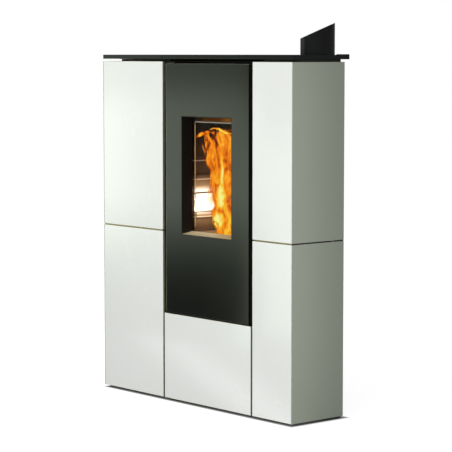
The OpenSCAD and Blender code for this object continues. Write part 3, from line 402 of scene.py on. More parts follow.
glaze = finish_paint("White Glaze", (0.80, 0.815, 0.79), 0.26, coat=0.9, spread=0.012, wave=2.2,
                     peel=260, peel_share=0.12, strength=0.05, coat_roughness=0.12)
side_paint = finish_paint("Sage Side Paint", (0.338, 0.362, 0.303), 0.42, spread=0.02, strength=0.06)
dark_sheet = finish_paint("Dark Sheet", (0.020, 0.019, 0.016), 0.45, spread=0.2, wear=0.2,
                          worn=(0.10, 0.09, 0.07))
slab_paint = finish_paint("Slab Paint", (0.004, 0.0046, 0.0044), 0.26, coat=0.04, spread=0.1, specular=0.34,
                          wear=0.3, worn=(0.07, 0.07, 0.07))
sleeve_paint = finish_paint("Sleeve Paint", (0.006, 0.0070, 0.0066), 0.28, spread=0.1, specular=0.32,
                            wear=0.25, worn=(0.05, 0.05, 0.05))
black_glass = finish_paint("Black Glass", (0.0065, 0.0075, 0.006), 0.16, coat=0.6, spread=0.08, wave=1.6,
                           peel=200, peel_share=0.05, strength=0.03, coat_roughness=0.12)
bronze = finish_brushed("Bronze Edge", (0.42, 0.33, 0.20), 0.35)
reveal_coat = finish_paint("Reveal Coat", (0.008, 0.0065, 0.005), 0.30, spread=0.12, metallic=0.3,
                           wear=0.3, worn=(0.10, 0.08, 0.06))
sill_light = finish_paint("Sill Light", (0.36, 0.325, 0.215), 0.42, spread=0.16, wave=30, strength=0.1)
glass_edge_highlight = finish_paint("Glass Edge Highlight", (0.55, 0.57, 0.45), 0.3, spread=0.15)
# Painted highlight and painted fire reflection, drawn as strips at the window glass's edges
pale_edge_highlight = finish_rope("Pale Edge Highlight", (0.42, 0.38, 0.31))
fire_reflection_line = finish_rope("Fire Reflection Line", (0.85, 0.55, 0.24))
zinc = finish_brushed("Zinc Steel", (0.60, 0.61, 0.62), 0.38)
stove_steel = finish_paint("Stove Steel", (0.055, 0.052, 0.048), 0.6, spread=0.3, wave=20, strength=0.3)
fire_brick = finish_fire_brick()
cast_pot = finish_paint("Cast Pot", (0.06, 0.05, 0.045), 0.75, spread=0.4, wave=60, peel=700,
                        peel_share=0.7, strength=0.7, metallic=0.3)
fire_glass = finish_fire_glass()
rope = finish_rope("Fibre Rope", (0.09, 0.085, 0.08))
seal = finish_paint("Seal Rubber", (0.018, 0.018, 0.018), 0.7, spread=0.15, strength=0.2)
black_plastic = finish_paint("Black Plastic", (0.02, 0.02, 0.021), 0.35, spread=0.1, strength=0.12,
                             peel=900)
red_plastic = finish_paint("Red Plastic", (0.45, 0.03, 0.02), 0.3, spread=0.05, strength=0.05)
board_green = finish_paint("Board Green", (0.02, 0.14, 0.05), 0.4, spread=0.25, strength=0.1, peel=1200)

FINISHES = {
    "white_glaze": glaze,
    "side_paint": side_paint,
    "dark_sheet": dark_sheet,
    "slab_paint": slab_paint,
    "sleeve_paint": sleeve_paint,
    "zinc_steel": zinc,
    "stove_steel": stove_steel,
    "fire_brick": fire_brick,
    "cast_pot": cast_pot,
    "black_glass": black_glass,
    "fire_glass": fire_glass,
    "bronze": bronze,
    "rope": rope,
    "seal_rubber": seal,
    "black_plastic": black_plastic,
    "red_plastic": red_plastic,
    "board": board_green,
}

OWN_FINISH = {"window_reveal": reveal_coat, "hinge_brackets": dark_sheet}


def dress_nodes():
    """Gives each CAD node its finish, by the record's slot or by a finish of its own."""
    for part in frame["record"]["subparts"]:
        obj = nodes[part["node"]]
        mat = OWN_FINISH.get(part["node"], FINISHES[part["material_slot"]])
        if not obj.material_slots:
            obj.data.materials.append(mat)
        for held in obj.material_slots:
            held.material = mat


dress_nodes()


# Mesh helpers


def to_object(name, bm, mat, body, smooth=False):
    mesh = bpy.data.meshes.new(name)
    bmesh.ops.recalc_face_normals(bm, faces=bm.faces)
    bm.to_mesh(mesh)
    bm.free()
    obj = bpy.data.objects.new(name, mesh)
    bpy.context.scene.collection.objects.link(obj)
    mesh.materials.append(mat)
    if smooth:
        for face in mesh.polygons:
            face.use_smooth = True
    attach(obj, body)
    return obj


def apply_modifiers(obj):
    """Replaces an object's mesh by its evaluated one and drops the modifiers."""
    graph = bpy.context.evaluated_depsgraph_get()
    mesh = bpy.data.meshes.new_from_object(obj.evaluated_get(graph))
    obj.modifiers.clear()
    obj.data = mesh


def softened(node, body, width, segments=2, mat=None):
    """A copy of a CAD node with its sharp edges rounded, standing in for the node."""
    part = next(p for p in frame["record"]["subparts"] if p["node"] == node)
    bm = bmesh.new()
    bm.from_mesh(nodes[node].data)
    bmesh.ops.remove_doubles(bm, verts=bm.verts, dist=1e-6)
    bmesh.ops.dissolve_limit(bm, angle_limit=math.radians(0.5), verts=bm.verts, edges=bm.edges)
    finish = mat or OWN_FINISH.get(node, FINISHES[part["material_slot"]])
    obj = to_object(node + "_soft", bm, finish, body, smooth=True)
    bevel = obj.modifiers.new("Edges", "BEVEL")
    bevel.width = width
    bevel.segments = segments
    bevel.limit_method = "ANGLE"
    bevel.angle_limit = math.radians(40)
    even = obj.modifiers.new("Flat Faces", "WEIGHTED_NORMAL")
    even.weight = 100
    apply_modifiers(obj)
    low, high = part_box(node)
    for vert in obj.data.vertices:
        vert.co = [min(max(value, low[axis]), high[axis]) for axis, value in enumerate(vert.co)]
    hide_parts(node)
    return obj


def retint(obj, mat, wanted):
    """Gives the faces that wanted(normal, middle) picks another finish."""
    obj.data.materials.append(mat)
    index = len(obj.data.materials) - 1
    for face in obj.data.polygons:
        if wanted(face.normal, face.center):
            face.material_index = index


def lathe(bm, profile, matrix, steps=20):
    """Spins (radius, height) pairs round local Z, then places the result."""
    rings = []
    for radius, height in profile:
        if radius < 1e-7:
            rings.append([bm.verts.new(matrix @ Vector((0, 0, height)))])
            continue
        ring = []
        for i in range(steps):
            a = 2 * math.pi * i / steps
            ring.append(bm.verts.new(matrix @ Vector((radius * math.cos(a), radius * math.sin(a), height))))
        rings.append(ring)
    for low, high in zip(rings, rings[1:]):
        for i in range(steps):
            j = (i + 1) % steps
            if len(low) == 1:
                bm.faces.new((low[0], high[i], high[j]))
            elif len(high) == 1:
                bm.faces.new((low[i], low[j], high[0]))
            else:
                bm.faces.new((low[i], low[j], high[j], high[i]))


def facing(point, direction):
    """A matrix that puts local Z along direction at point."""
    turn = Vector((0, 0, 1)).rotation_difference(Vector(direction)).to_matrix().to_4x4()
    return Matrix.Translation(point) @ turn


# Radius and height along a screw head's section
SCREW_PROFILE = [(0, 0.0), (0.0042, 0.0), (0.0042, 0.0008), (0.0036, 0.0018), (0.0020, 0.0024),
                 (0.0014, 0.0024), (0.0011, 0.0012), (0, 0.0010)]


def screws(name, points, direction, body, scale=1.0):
    """Round-headed screws with a socket, at points, facing direction."""
    bm = bmesh.new()
    for point in points:
        lathe(bm, [(r * scale, h * scale) for r, h in SCREW_PROFILE], facing(point, direction), 16)
    return to_object(name, bm, zinc, body, smooth=True)


def tube_path(bm, points, rx, ry, up, closed=True, sides=12):
    """Sweeps an oval section along points; up is the section's second axis."""
    rings = []
    count = len(points)
    for i, point in enumerate(points):
        ahead = points[(i + 1) % count] if closed or i < count - 1 else point
        behind = points[i - 1] if closed or i > 0 else point
        forward = (ahead - behind).normalized()
        side = forward.cross(up).normalized()
        ring = []
        for k in range(sides):
            a = 2 * math.pi * k / sides
            ring.append(bm.verts.new(point + side * (rx * math.cos(a)) + up * (ry * math.sin(a))))
        rings.append(ring)
    pairs = list(zip(rings, rings[1:]))
    if closed:
        pairs.append((rings[-1], rings[0]))
    for low, high in pairs:
        for k in range(sides):
            m = (k + 1) % sides
            bm.faces.new((low[k], low[m], high[m], high[k]))
    if not closed:
        bm.faces.new(list(reversed(rings[0])))
        bm.faces.new(rings[-1])


def rounded_rectangle(x0, x1, z0, z1, y, radius, steps=6):
    """Points round a rectangle with rounded corners, in the plane at depth y."""
    points = []
    for cx, cz, start in ((x1 - radius, z1 - radius, 0), (x0 + radius, z1 - radius, 90),
                          (x0 + radius, z0 + radius, 180), (x1 - radius, z0 + radius, 270)):
        for i in range(steps + 1):
            a = math.radians(start + 90 * i / steps)
            points.append(Vector((cx + radius * math.cos(a), y, cz + radius * math.sin(a))))
    return points


# Cladding

tile_edge = finish_paint("Tile Edge", (0.34, 0.30, 0.20), 0.45, spread=0.15, metallic=0.2)
# Painted warm highlight for the tiles' front bevels
tile_rim_highlight = finish_paint("Tile Rim Highlight", (0.62, 0.575, 0.40), 0.35, spread=0.1)


def clad_tile(node, body):
    """A glazed panel: soft glazed front edges, bronze-brown flanks and back, a painted warm highlight on the
    left, top and bottom front bevels, and painted shade on the top and bottom faces.
    """
    low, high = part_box(node)
    bm = bmesh.new()
    bmesh.ops.create_cube(bm, size=1.0)
    size = Vector(high) - Vector(low)
    middle = (Vector(high) + Vector(low)) / 2
    bmesh.ops.scale(bm, vec=size, verts=bm.verts)
    bmesh.ops.translate(bm, vec=middle, verts=bm.verts)
    front = [e for e in bm.edges if all(v.co.y < middle.y for v in e.verts)]
    bmesh.ops.bevel(bm, geom=front, offset=1.4 * MM, segments=4, profile=0.6, affect="EDGES")
    corners = [e for e in bm.edges if abs(e.verts[0].co.y - e.verts[1].co.y) > 4 * MM]
    bmesh.ops.bevel(bm, geom=corners, offset=0.8 * MM, segments=2, profile=0.5, affect="EDGES")
    bm.normal_update()
    for face in bm.faces:
        face.material_index = 1 if face.calc_center_median().y > low[1] + 1.5 * MM else 0
    obj = to_object(node + "_glazed", bm, glaze, body, smooth=True)
    obj.data.materials.append(tile_edge)
    obj.data.set_sharp_from_angle(angle=math.radians(30))
    rim = 0.35
    # Painted highlight: the front bevels facing left, up and down take a pale warm finish
    retint(obj, tile_rim_highlight, lambda n, c: -0.95 < n.y < -0.2 and (n.x < -rim or abs(n.z) > rim))
    # Painted shade: the top and bottom faces, in the seams and gaps, take the dark sheet finish
    retint(obj, dark_sheet, lambda n, c: abs(n.z) > 0.9)
    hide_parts(node)


for column in ("left", "right"):
    for level in ("upper", "lower"):
        clad_tile(f"tile_{column}_{level}", "cabinet")
        side = softened(f"side_{column}_{level}", "cabinet", 0.8 * MM)
        # Painted shade: the side panels' top and bottom faces, in the seams, take the dark sheet finish
        retint(side, dark_sheet, lambda n, c: abs(n.z) > 0.9)
clad_tile("drawer_front", "drawer")
seams = softened("seam_profiles", "cabinet", 0.2 * MM)
# Painted shade: the seam profiles' right-facing faces take the dark sheet finish
retint(seams, dark_sheet, lambda n, c: n.x > 0.6)

softened("top_slab", "cabinet", 1.2 * MM, 3)
softened("hopper_lid", "lid", 0.9 * MM, 2)
softened("rear_cover", "cabinet", 0.5 * MM)
softened("flue_sleeve", "cabinet", 0.6 * MM)
door_glass = softened("door_panel", "fire_door", 1.5 * MM, 3)
panel_low, panel_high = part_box("door_panel")
# Painted highlight: the glass's left and top bevels take a pale finish
retint(door_glass, glass_edge_highlight, lambda n, c: n.y < -0.2 and n.y > -0.97
       and (c.x < panel_low[0] + 2 * MM or c.z > panel_high[2] - 2 * MM))
reveal = softened("window_reveal", "fire_door", 0.35 * MM)
# Painted light: the reveal's up-facing sill faces take a pale warm finish
retint(reveal, sill_light, lambda n, c: n.z > 0.6)
softened("latch_lever", "latch", 0.7 * MM)
softened("rear_sockets", "cabinet", 0.5 * MM)
softened("power_switch", "rocker", 0.8 * MM, 3)
softened("reset_button", "reset", 0.7 * MM, 3)
softened("burn_pot", "pot", 0.5 * MM)
PLAIN_EDGES = (
    ("control_bezel", "cabinet", 0.4), ("air_intake", "cabinet", 0.4), ("levelling_feet", "cabinet", 0.4),
    ("hinge_brackets", "cabinet", 0.4), ("flue_pipe", "cabinet", 0.3), ("ash_drawer", "drawer", 0.4),
    ("door_frame", "fire_door", 0.4), ("glass_retainers", "fire_door", 0.3), ("plinth", "cabinet", 0.6),
)
for held, rider, width in PLAIN_EDGES:
    softened(held, rider, width * MM)


# Door fittings


def door_rope():
    low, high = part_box("door_gasket")
    inset = 6 * MM
    depth = (low[1] + high[1]) / 2
    path = rounded_rectangle(low[0] + inset, high[0] - inset, low[2] + inset, high[2] - inset, depth,
                             14 * MM)
    bm = bmesh.new()
    tube_path(bm, path, 5.8 * MM, (high[1] - low[1]) / 2, Vector((0, 1, 0)))
    obj = to_object("rope_seal", bm, rope, "fire_door", smooth=True)
    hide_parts("door_gasket")


def retainer_screws():
    low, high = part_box("glass_retainers")
    inset = 3.5 * MM
    points = []
    for i in range(4):
        z = low[2] + 40 * MM + i * (high[2] - low[2] - 80 * MM) / 3
        points += [(low[0] + inset, high[1], z), (high[0] - inset, high[1], z)]
    for i in range(3):
        x = low[0] + 50 * MM + i * (high[0] - low[0] - 100 * MM) / 2
        points += [(x, high[1], low[2] + inset), (x, high[1], high[2] - inset)]
    screws("retainer_screws", points, (0, 1, 0), "fire_door", 0.7)


def light_strip_run(bm, start, stop, half_width):
    """A flat strip between two points."""
    steps, half_depth = 12, 0.5 * MM
    path = [start.lerp(stop, i / steps) for i in range(steps + 1)]
    tube_path(bm, path, half_width, half_depth, Vector((0, 1, 0)), closed=False)


def window_edge_highlights():
    """Pale lines painted as highlights along the glass's top and right edges inside the reveal, and a warm
    line painted as fire reflection on its left side.
    """
    low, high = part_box("window_reveal")
    side_inset, top_inset = 26 * MM, 18 * MM
    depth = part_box("window_glass")[0][1] - 0.6 * MM
    left, right = low[0] + side_inset, high[0] - side_inset
    foot, top = low[2] + side_inset, high[2] - top_inset
    bm = bmesh.new()
    corner = Vector((right, depth, top))
    light_strip_run(bm, Vector((left, depth, top)), corner, 1.6 * MM)
    light_strip_run(bm, corner, Vector((right, depth, foot)), 1.6 * MM)
    to_object("window_edge_highlights", bm, pale_edge_highlight, "fire_door", smooth=True)
    bm = bmesh.new()
    warm_x = left + 0.6 * MM
    light_strip_run(bm, Vector((warm_x, depth, foot)), Vector((warm_x, depth, top)), 1.1 * MM)
    to_object("side_fire_reflection", bm, fire_reflection_line, "fire_door", smooth=True)


door_rope()
retainer_screws()
window_edge_highlights()


# Small fittings


def grouped(values, gap=20 * MM):
    """The middle of each run of values that lie closer than the gap."""
    runs = []
    for value in sorted(set(values)):
        if runs and value - runs[-1][-1] < gap:
            runs[-1].append(value)
        else:
            runs.append([value])
    return [(run[0] + run[-1]) / 2 for run in runs]


def face_screws():
    """Socket-headed screws in the rear panel's and the front plate's holes."""
    marks = [v.co for v in nodes["panel_screws"].data.vertices]
    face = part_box("back_panel")[1][1]
    columns = grouped([co.x for co in marks])
    points = [(x, face, z) for x in columns for z in grouped([co.z for co in marks])]
    rear = screws("rear_screws", points, (0, 1, 0), "cabinet", 0.95)
    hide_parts("panel_screws")
    low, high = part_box("firebox_front")
    side_inset, end_inset, rows = 32 * MM, 30 * MM, 6
    points = []
    for i in range(rows):
        z = low[2] + end_inset + i * (high[2] - low[2] - 2 * end_inset) / (rows - 1)
        points += [(low[0] + side_inset, low[1], z), (high[0] - side_inset, low[1], z)]
    screws("plate_screws", points, (0, -1, 0), "cabinet", 0.9)


# The rear panel's wide cooling slots, as in the CAD: ends, first height, pitch and count
LOUVRE_ENDS = (0.334, 0.436)
LOUVRE_FOOT = 567 * MM
LOUVRE_PITCH = 16 * MM
LOUVRE_ROWS = 8


def louvre_hoods():
    """Pressed hoods over the rear panel's wide cooling slots."""
    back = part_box("back_panel")[1][1]
    rise, steps, arc_steps, step_angle = 3.2 * MM, 24, 6, 15
    bm = bmesh.new()
    for row in range(LOUVRE_ROWS):
        z = LOUVRE_FOOT + row * LOUVRE_PITCH
        start, stop = (Vector((x, back, z)) for x in LOUVRE_ENDS)
        rings = []
        for i in range(steps + 1):
            t = i / steps
            reach = rise * min(1.0, 6 * t, 6 * (1 - t)) + 0.05 * MM
            foot = start.lerp(stop, t)
            ring = []
            for k in range(arc_steps + 1):
                a = math.radians(step_angle * k)
                bulge = Vector((0, reach * math.cos(a), reach * (math.sin(a) - 0.9)))
                ring.append(bm.verts.new(foot + bulge))
            rings.append(ring)
        for near, far in zip(rings, rings[1:]):
            for k in range(arc_steps):
                bm.faces.new((near[k], near[k + 1], far[k + 1], far[k]))
    hoods = to_object("louvre_hoods", bm, dark_sheet, "cabinet", smooth=True)
    thick = hoods.modifiers.new("Sheet", "SOLIDIFY")
    thick.thickness = 0.5 * MM
    thick.offset = 0
    apply_modifiers(hoods)


def panel_display():
    """A smoked display and three key caps sunk in the control bezel."""
    low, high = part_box("control_bezel")
    floor = high[2] - 1.5 * MM
    display_w, display_t, display_mid, rim = 61 * MM, 1.1 * MM, 39 * MM, 17 * MM
    bm = bmesh.new()
    bmesh.ops.create_cube(bm, size=1.0)
    bmesh.ops.scale(bm, vec=(display_w, high[1] - low[1] - rim, display_t), verts=bm.verts)
    middle = (low[0] + display_mid, (low[1] + high[1]) / 2, floor + 0.6 * MM)
    bmesh.ops.translate(bm, vec=middle, verts=bm.verts)
    bmesh.ops.bevel(bm, geom=list(bm.edges), offset=0.4 * MM, segments=2, profile=0.5, affect="EDGES")
    to_object("display_window", bm, black_glass, "cabinet")
    caps = bmesh.new()
    key_r, key_in, key_foot, key_pitch = 4.6 * MM, 14 * MM, 13 * MM, 16 * MM
    cap = [(0, 0.0), (key_r, 0.0), (key_r, 0.9 * MM), (key_r - 0.4 * MM, 1.2 * MM), (2.2 * MM, 1.0 * MM),
           (0, 0.85 * MM)]
    for i in range(3):
        place = Vector((high[0] - key_in, low[1] + key_foot + i * key_pitch, floor))
        lathe(caps, cap, Matrix.Translation(place), 28)
    to_object("key_caps", caps, black_plastic, "cabinet", smooth=True)


face_screws()
louvre_hoods()
panel_display()


# Fire

flame_mat, flame_tree, flame_out = new_material("Flame")

FLAME_STOPS = (
    (0.10, (0.10, 0.010, 0.000)),
    (0.27, (0.45, 0.060, 0.000)),
    (0.42, (0.85, 0.180, 0.002)),
    (0.58, (1.00, 0.330, 0.008)),
    (0.76, (1.00, 0.600, 0.035)),
    (0.96, (1.00, 0.930, 0.260)),
)


def build_flame_material(tree, out):
    """Glowing gas: warped streaks set the heat, the sheet's marks its edge fade and cores."""
    coord = tree.nodes.new("ShaderNodeTexCoord")
    eddy = add(tree, "ShaderNodeTexNoise", detail=2.0)
    eddy.inputs["Scale"].default_value = 17.0
    link(tree, coord.outputs["Object"], eddy.inputs["Vector"])
    warp = add(tree, "ShaderNodeVectorMath", operation="MULTIPLY_ADD")
    warp.inputs[1].default_value = (0.075, 0.075, 0.075)
    link(tree, eddy.outputs["Color"], warp.inputs[0])
    link(tree, coord.outputs["Object"], warp.inputs[2])
    stretch = tree.nodes.new("ShaderNodeMapping")
    stretch.inputs["Scale"].default_value = (1.0, 1.0, 0.30)
    link(tree, warp.outputs[0], stretch.inputs["Vector"])
    streak = add(tree, "ShaderNodeTexNoise", detail=3.5)
    streak.inputs["Scale"].default_value = 44.0
    streak.inputs["Roughness"].default_value = 0.52
    link(tree, stretch.outputs[0], streak.inputs["Vector"])
    marks = tree.nodes.new("ShaderNodeAttribute")
    marks.attribute_name = "fire_marks"
    split = tree.nodes.new("ShaderNodeSeparateColor")
    link(tree, marks.outputs["Color"], split.inputs[0])
    contrast = ranged(tree, streak.outputs["Fac"], (0.36, 0.64), (-0.24, 0.24))
    heat = add(tree, "ShaderNodeMath", operation="ADD")
    link(tree, contrast, heat.inputs[0])
    link(tree, split.outputs[1], heat.inputs[1])
    ramp = tree.nodes.new("ShaderNodeValToRGB")
    stops = ramp.color_ramp.elements
    stops[0].position = FLAME_STOPS[0][0]
    stops[0].color = (*FLAME_STOPS[0][1], 1)
    stops[1].position = FLAME_STOPS[-1][0]
    stops[1].color = (*FLAME_STOPS[-1][1], 1)
    for position, color in FLAME_STOPS[1:-1]:
        stop = stops.new(position)
        stop.color = (*color, 1)
    link(tree, heat.outputs[0], ramp.inputs[0])
    ragged = add(tree, "ShaderNodeMath", operation="MULTIPLY_ADD")
    ragged.inputs[1].default_value = 2.2
    link(tree, contrast, ragged.inputs[0])
    link(tree, split.outputs[0], ragged.inputs[2])
    cover = add(tree, "ShaderNodeMath", operation="MULTIPLY")
    cover.use_clamp = True
    link(tree, ragged.outputs[0], cover.inputs[0])
    link(tree, split.outputs[2], cover.inputs[1])
    shader = surface(tree, out, (0.0, 0.0, 0.0), 1.0, specular=0.0)
    shader.inputs["Emission Strength"].default_value = 1.0
    link(tree, ramp.outputs[0], shader.inputs["Emission Color"])
    link(tree, cover.outputs[0], shader.inputs["Alpha"])


build_flame_material(flame_tree, flame_out)

ember = finish_paint("Ember", (0.05, 0.03, 0.02), 0.9, spread=0.4, strength=0.4)
pellet = finish_paint("Wood Pellet", (0.42, 0.27, 0.14), 0.7, spread=0.25, wave=80, peel=900,
                      peel_share=0.6, strength=0.5)

seat_low, seat_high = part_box("burn_pot")
pot_x = (seat_low[0] + seat_high[0]) / 2
pot_y = (seat_low[1] + seat_high[1]) / 2
pot_rim = seat_high[2]

# Height, left edge and right edge of a flame's outline, from the burn pot's axis and rim
MAIN_FLAME = ((-0.030, -0.030, 0.030), (0.060, -0.066, 0.062), (0.127, -0.070, 0.074), (0.170, -0.066, 0.070),
              (0.200, -0.088, 0.062), (0.236, -0.100, 0.066), (0.285, -0.094, 0.062), (0.334, -0.094, 0.064),
              (0.384, -0.116, 0.074), (0.415, -0.134, 0.080), (0.445, -0.116, 0.066), (0.472, -0.060, 0.024))
SIDE_FLAME = ((-0.030, -0.034, 0.034), (0.080, -0.058, 0.074), (0.160, -0.056, 0.088), (0.240, -0.066, 0.080),
              (0.320, -0.070, 0.092), (0.400, -0.080, 0.100), (0.440, -0.050, 0.086), (0.478, 0.010, 0.050))
BACK_FLAME = ((-0.030, -0.034, 0.034), (0.100, -0.080, 0.060), (0.200, -0.080, 0.070), (0.300, -0.096, 0.060),
              (0.380, -0.108, 0.078), (0.430, -0.076, 0.080), (0.474, -0.024, 0.040))
# Middle, reach and gain of the hot cores and cool pockets, in the same terms
CORES = ((-0.014, 0.335, 0.009, 0.052, 0.40), (-0.016, 0.246, 0.022, 0.044, 0.66),
         (-0.034, 0.166, 0.024, 0.026, 0.50), (-0.030, 0.202, 0.024, 0.010, -0.34),
         (0.030, 0.300, 0.010, 0.060, 0.06), (0.020, 0.100, 0.040, 0.050, 0.12),
         (-0.020, 0.285, 0.034, 0.030, -0.08), (0.020, 0.420, 0.030, 0.020, 0.10))


def outline_at(outline, z):
    """The left and right edges at height z, eased between the outline's points."""
    for (z0, a0, b0), (z1, a1, b1) in zip(outline, outline[1:]):
        if z <= z1:
            t = (z - z0) / (z1 - z0)
            t = t * t * (3 - 2 * t)
            return a0 + (a1 - a0) * t, b0 + (b1 - b0) * t
    return outline[-1][1:]


def core_heat(x, z):
    total = 0.0
    for cx, cz, rx, rz, gain in CORES:
        total += gain * math.exp(-((x - cx) / rx) ** 2 - ((z - cz) / rz) ** 2)
    return total


def flame_sheet(bm, marks, outline, y, bow, heat, cover, phase, rows=110, columns=30):
    """A bowed sheet inside the outline; its marks hold fade, heat and cover."""
    foot, top = outline[0][0], outline[-1][0]
    grid = []
    for r in range(rows + 1):
        t = r / rows
        z = foot + (top - foot) * t
        left, right = outline_at(outline, z)
        left += 0.005 * math.sin(64 * z + phase) + 0.003 * math.sin(151 * z + 2 * phase)
        right += 0.005 * math.sin(58 * z + 2 * phase) + 0.003 * math.sin(139 * z + phase)
        row = []
        for c in range(columns + 1):
            s = 2 * c / columns - 1
            x = (left + right) / 2 + (right - left) / 2 * s
            depth = y + bow * s * s + 0.004 * math.sin(40 * z + 3 * s + phase)
            vert = bm.verts.new((pot_x + x, depth, pot_rim + z))
            side = 1 - abs(s) ** 3
            tip = 1 - max(0.0, (t - 0.86) / 0.14) ** 1.5
            fade = 1.15 * side * tip - 0.10
            vert[marks] = (fade, heat + 0.10 * side - 0.16 * t + core_heat(x, z), cover, 1)
            row.append(vert)
        grid.append(row)
    for low, high in zip(grid, grid[1:]):
        for c in range(columns):
            bm.faces.new((low[c], low[c + 1], high[c + 1], high[c]))


def flame_strand(bm, marks, path, width, heat, cover, steps=60):
    """A thin curl of flame along points, widest in the middle."""
    rows = []
    for i in range(steps + 1):
        t = i / steps
        span = t * (len(path) - 1)
        k = min(int(span), len(path) - 2)
        u = span - k
        u = u * u * (3 - 2 * u)
        a, b = Vector(path[k]), Vector(path[k + 1])
        middle = a.lerp(b, u)
        along = (b - a).normalized()
        across = along.cross(Vector((0, 1, 0))).normalized()
        half = width * (0.35 + 0.65 * math.sin(math.pi * t)) / 2
        row = []
        for c in range(7):
            s = c / 3 - 1
            vert = bm.verts.new(middle + across * half * s)
            ends = min(1.0, 6 * t, 6 * (1 - t) + 0.4)
            vert[marks] = ((1.2 * (1 - s * s) - 0.15) * ends, heat + 0.14 * (1 - abs(s)), cover, 1)
            row.append(vert)
        rows.append(row)
    for low, high in zip(rows, rows[1:]):
        for c in range(6):
            bm.faces.new((low[c], low[c + 1], high[c + 1], high[c]))


def make_flames():
    bm = bmesh.new()
    marks = bm.verts.layers.float_color.new("fire_marks")
    flame_sheet(bm, marks, MAIN_FLAME, -0.044, 0.010, 0.46, 1.6, 0.4)
    flame_sheet(bm, marks, SIDE_FLAME, -0.030, 0.012, 0.42, 1.3, 2.1)
    flame_sheet(bm, marks, BACK_FLAME, -0.012, 0.010, 0.34, 1.2, 4.0)
    crest = [(-0.004, -0.050, 0.904), (0.020, -0.048, 0.911), (0.044, -0.046, 0.909),
             (0.064, -0.046, 0.902), (0.084, -0.046, 0.896), (0.112, -0.046, 0.896),
             (0.140, -0.040, 0.890)]
    flame_strand(bm, marks, crest, 0.009, 0.54, 1.6)
    flick = [(-0.060, -0.060, 0.866), (-0.052, -0.058, 0.882), (-0.030, -0.052, 0.893),
             (-0.004, -0.048, 0.898), (0.022, -0.046, 0.894)]
    flame_strand(bm, marks, flick, 0.014, 0.33, 1.4)
    return to_object("flames", bm, flame_mat, "pot", smooth=True)


def scatter_pellets(name, count, centre, spread, heap, mat, body, seed, radius=3 * MM, length=16 * MM):
    """Short rods lying at random on a low heap."""
    rng = random.Random(seed)
    bm = bmesh.new()
    for _ in range(count):
        u, v = rng.uniform(-1, 1), rng.uniform(-1, 1)
        lift = heap * (1 - 0.5 * (u * u + v * v)) + rng.uniform(0, 2.5 * radius)
        point = Vector((centre[0] + u * spread[0], centre[1] + v * spread[1], centre[2] + lift))
        angle = rng.uniform(0, math.pi)
        tilt = rng.uniform(-0.35, 0.35)
        flat = math.cos(tilt)
        direction = Vector((math.cos(angle) * flat, math.sin(angle) * flat, math.sin(tilt)))
        half = length * rng.uniform(0.3, 0.5)
        profile = [(0, -half), (radius * 0.9, -half), (radius, -half + 0.4 * MM), (radius, half - 0.4 * MM),
                   (radius * 0.9, half), (0, half)]
        lathe(bm, profile, facing(point, direction), 8)
    return to_object(name, bm, mat, body, smooth=True)


make_flames()
pot_heap = (pot_x, pot_y, pot_rim - 34 * MM)
scatter_pellets("burning_pellets", 110, pot_heap, (30 * MM, 18 * MM), 12 * MM, ember, "pot", 7)
bin_low, bin_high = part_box("hopper_bin")
bin_heap = ((bin_low[0] + bin_high[0]) / 2, (bin_low[1] + bin_high[1]) / 2, 0.90)
scatter_pellets("stored_pellets", 900, bin_heap, (0.128, 0.078), 0.035, pellet, "cabinet", 11)


# Studio


def open_floor(tree):
    """The floor's own brightness, fading to nothing beneath the stove: a painted contact shadow."""
    coord = tree.nodes.new("ShaderNodeTexCoord")
    size = add(tree, "ShaderNodeVectorMath", operation="ABSOLUTE")
    link(tree, coord.outputs["Object"], size.inputs[0])
    past = add(tree, "ShaderNodeVectorMath", operation="SUBTRACT")
    past.inputs[1].default_value = (cad_box[1][0], cad_box[1][1], 0.0)
    link(tree, size.outputs[0], past.inputs[0])
    parts = tree.nodes.new("ShaderNodeSeparateXYZ")
    link(tree, past.outputs[0], parts.inputs[0])
    reach = add(tree, "ShaderNodeMath", operation="MAXIMUM")
    link(tree, parts.outputs["X"], reach.inputs[0])
    link(tree, parts.outputs["Y"], reach.inputs[1])
    return ranged(tree, reach.outputs[0], (-0.006, 0.012), (0.0, 0.82), smooth=True)


def floor_sheen(tree):
    """A soft slanting band that the glazed fronts mirror near the floor."""
    coord = tree.nodes.new("ShaderNodeTexCoord")
    across = add(tree, "ShaderNodeVectorMath", operation="DOT_PRODUCT")
    across.inputs[1].default_value = (-0.448, 0.894, 0.0)
    link(tree, coord.outputs["Object"], across.inputs[0])
    strip = band(tree, across.outputs["Value"], -0.31, 0.17)
    return ranged(tree, strip, (0.0, 1.0), (0.14, 1.15), smooth=True)


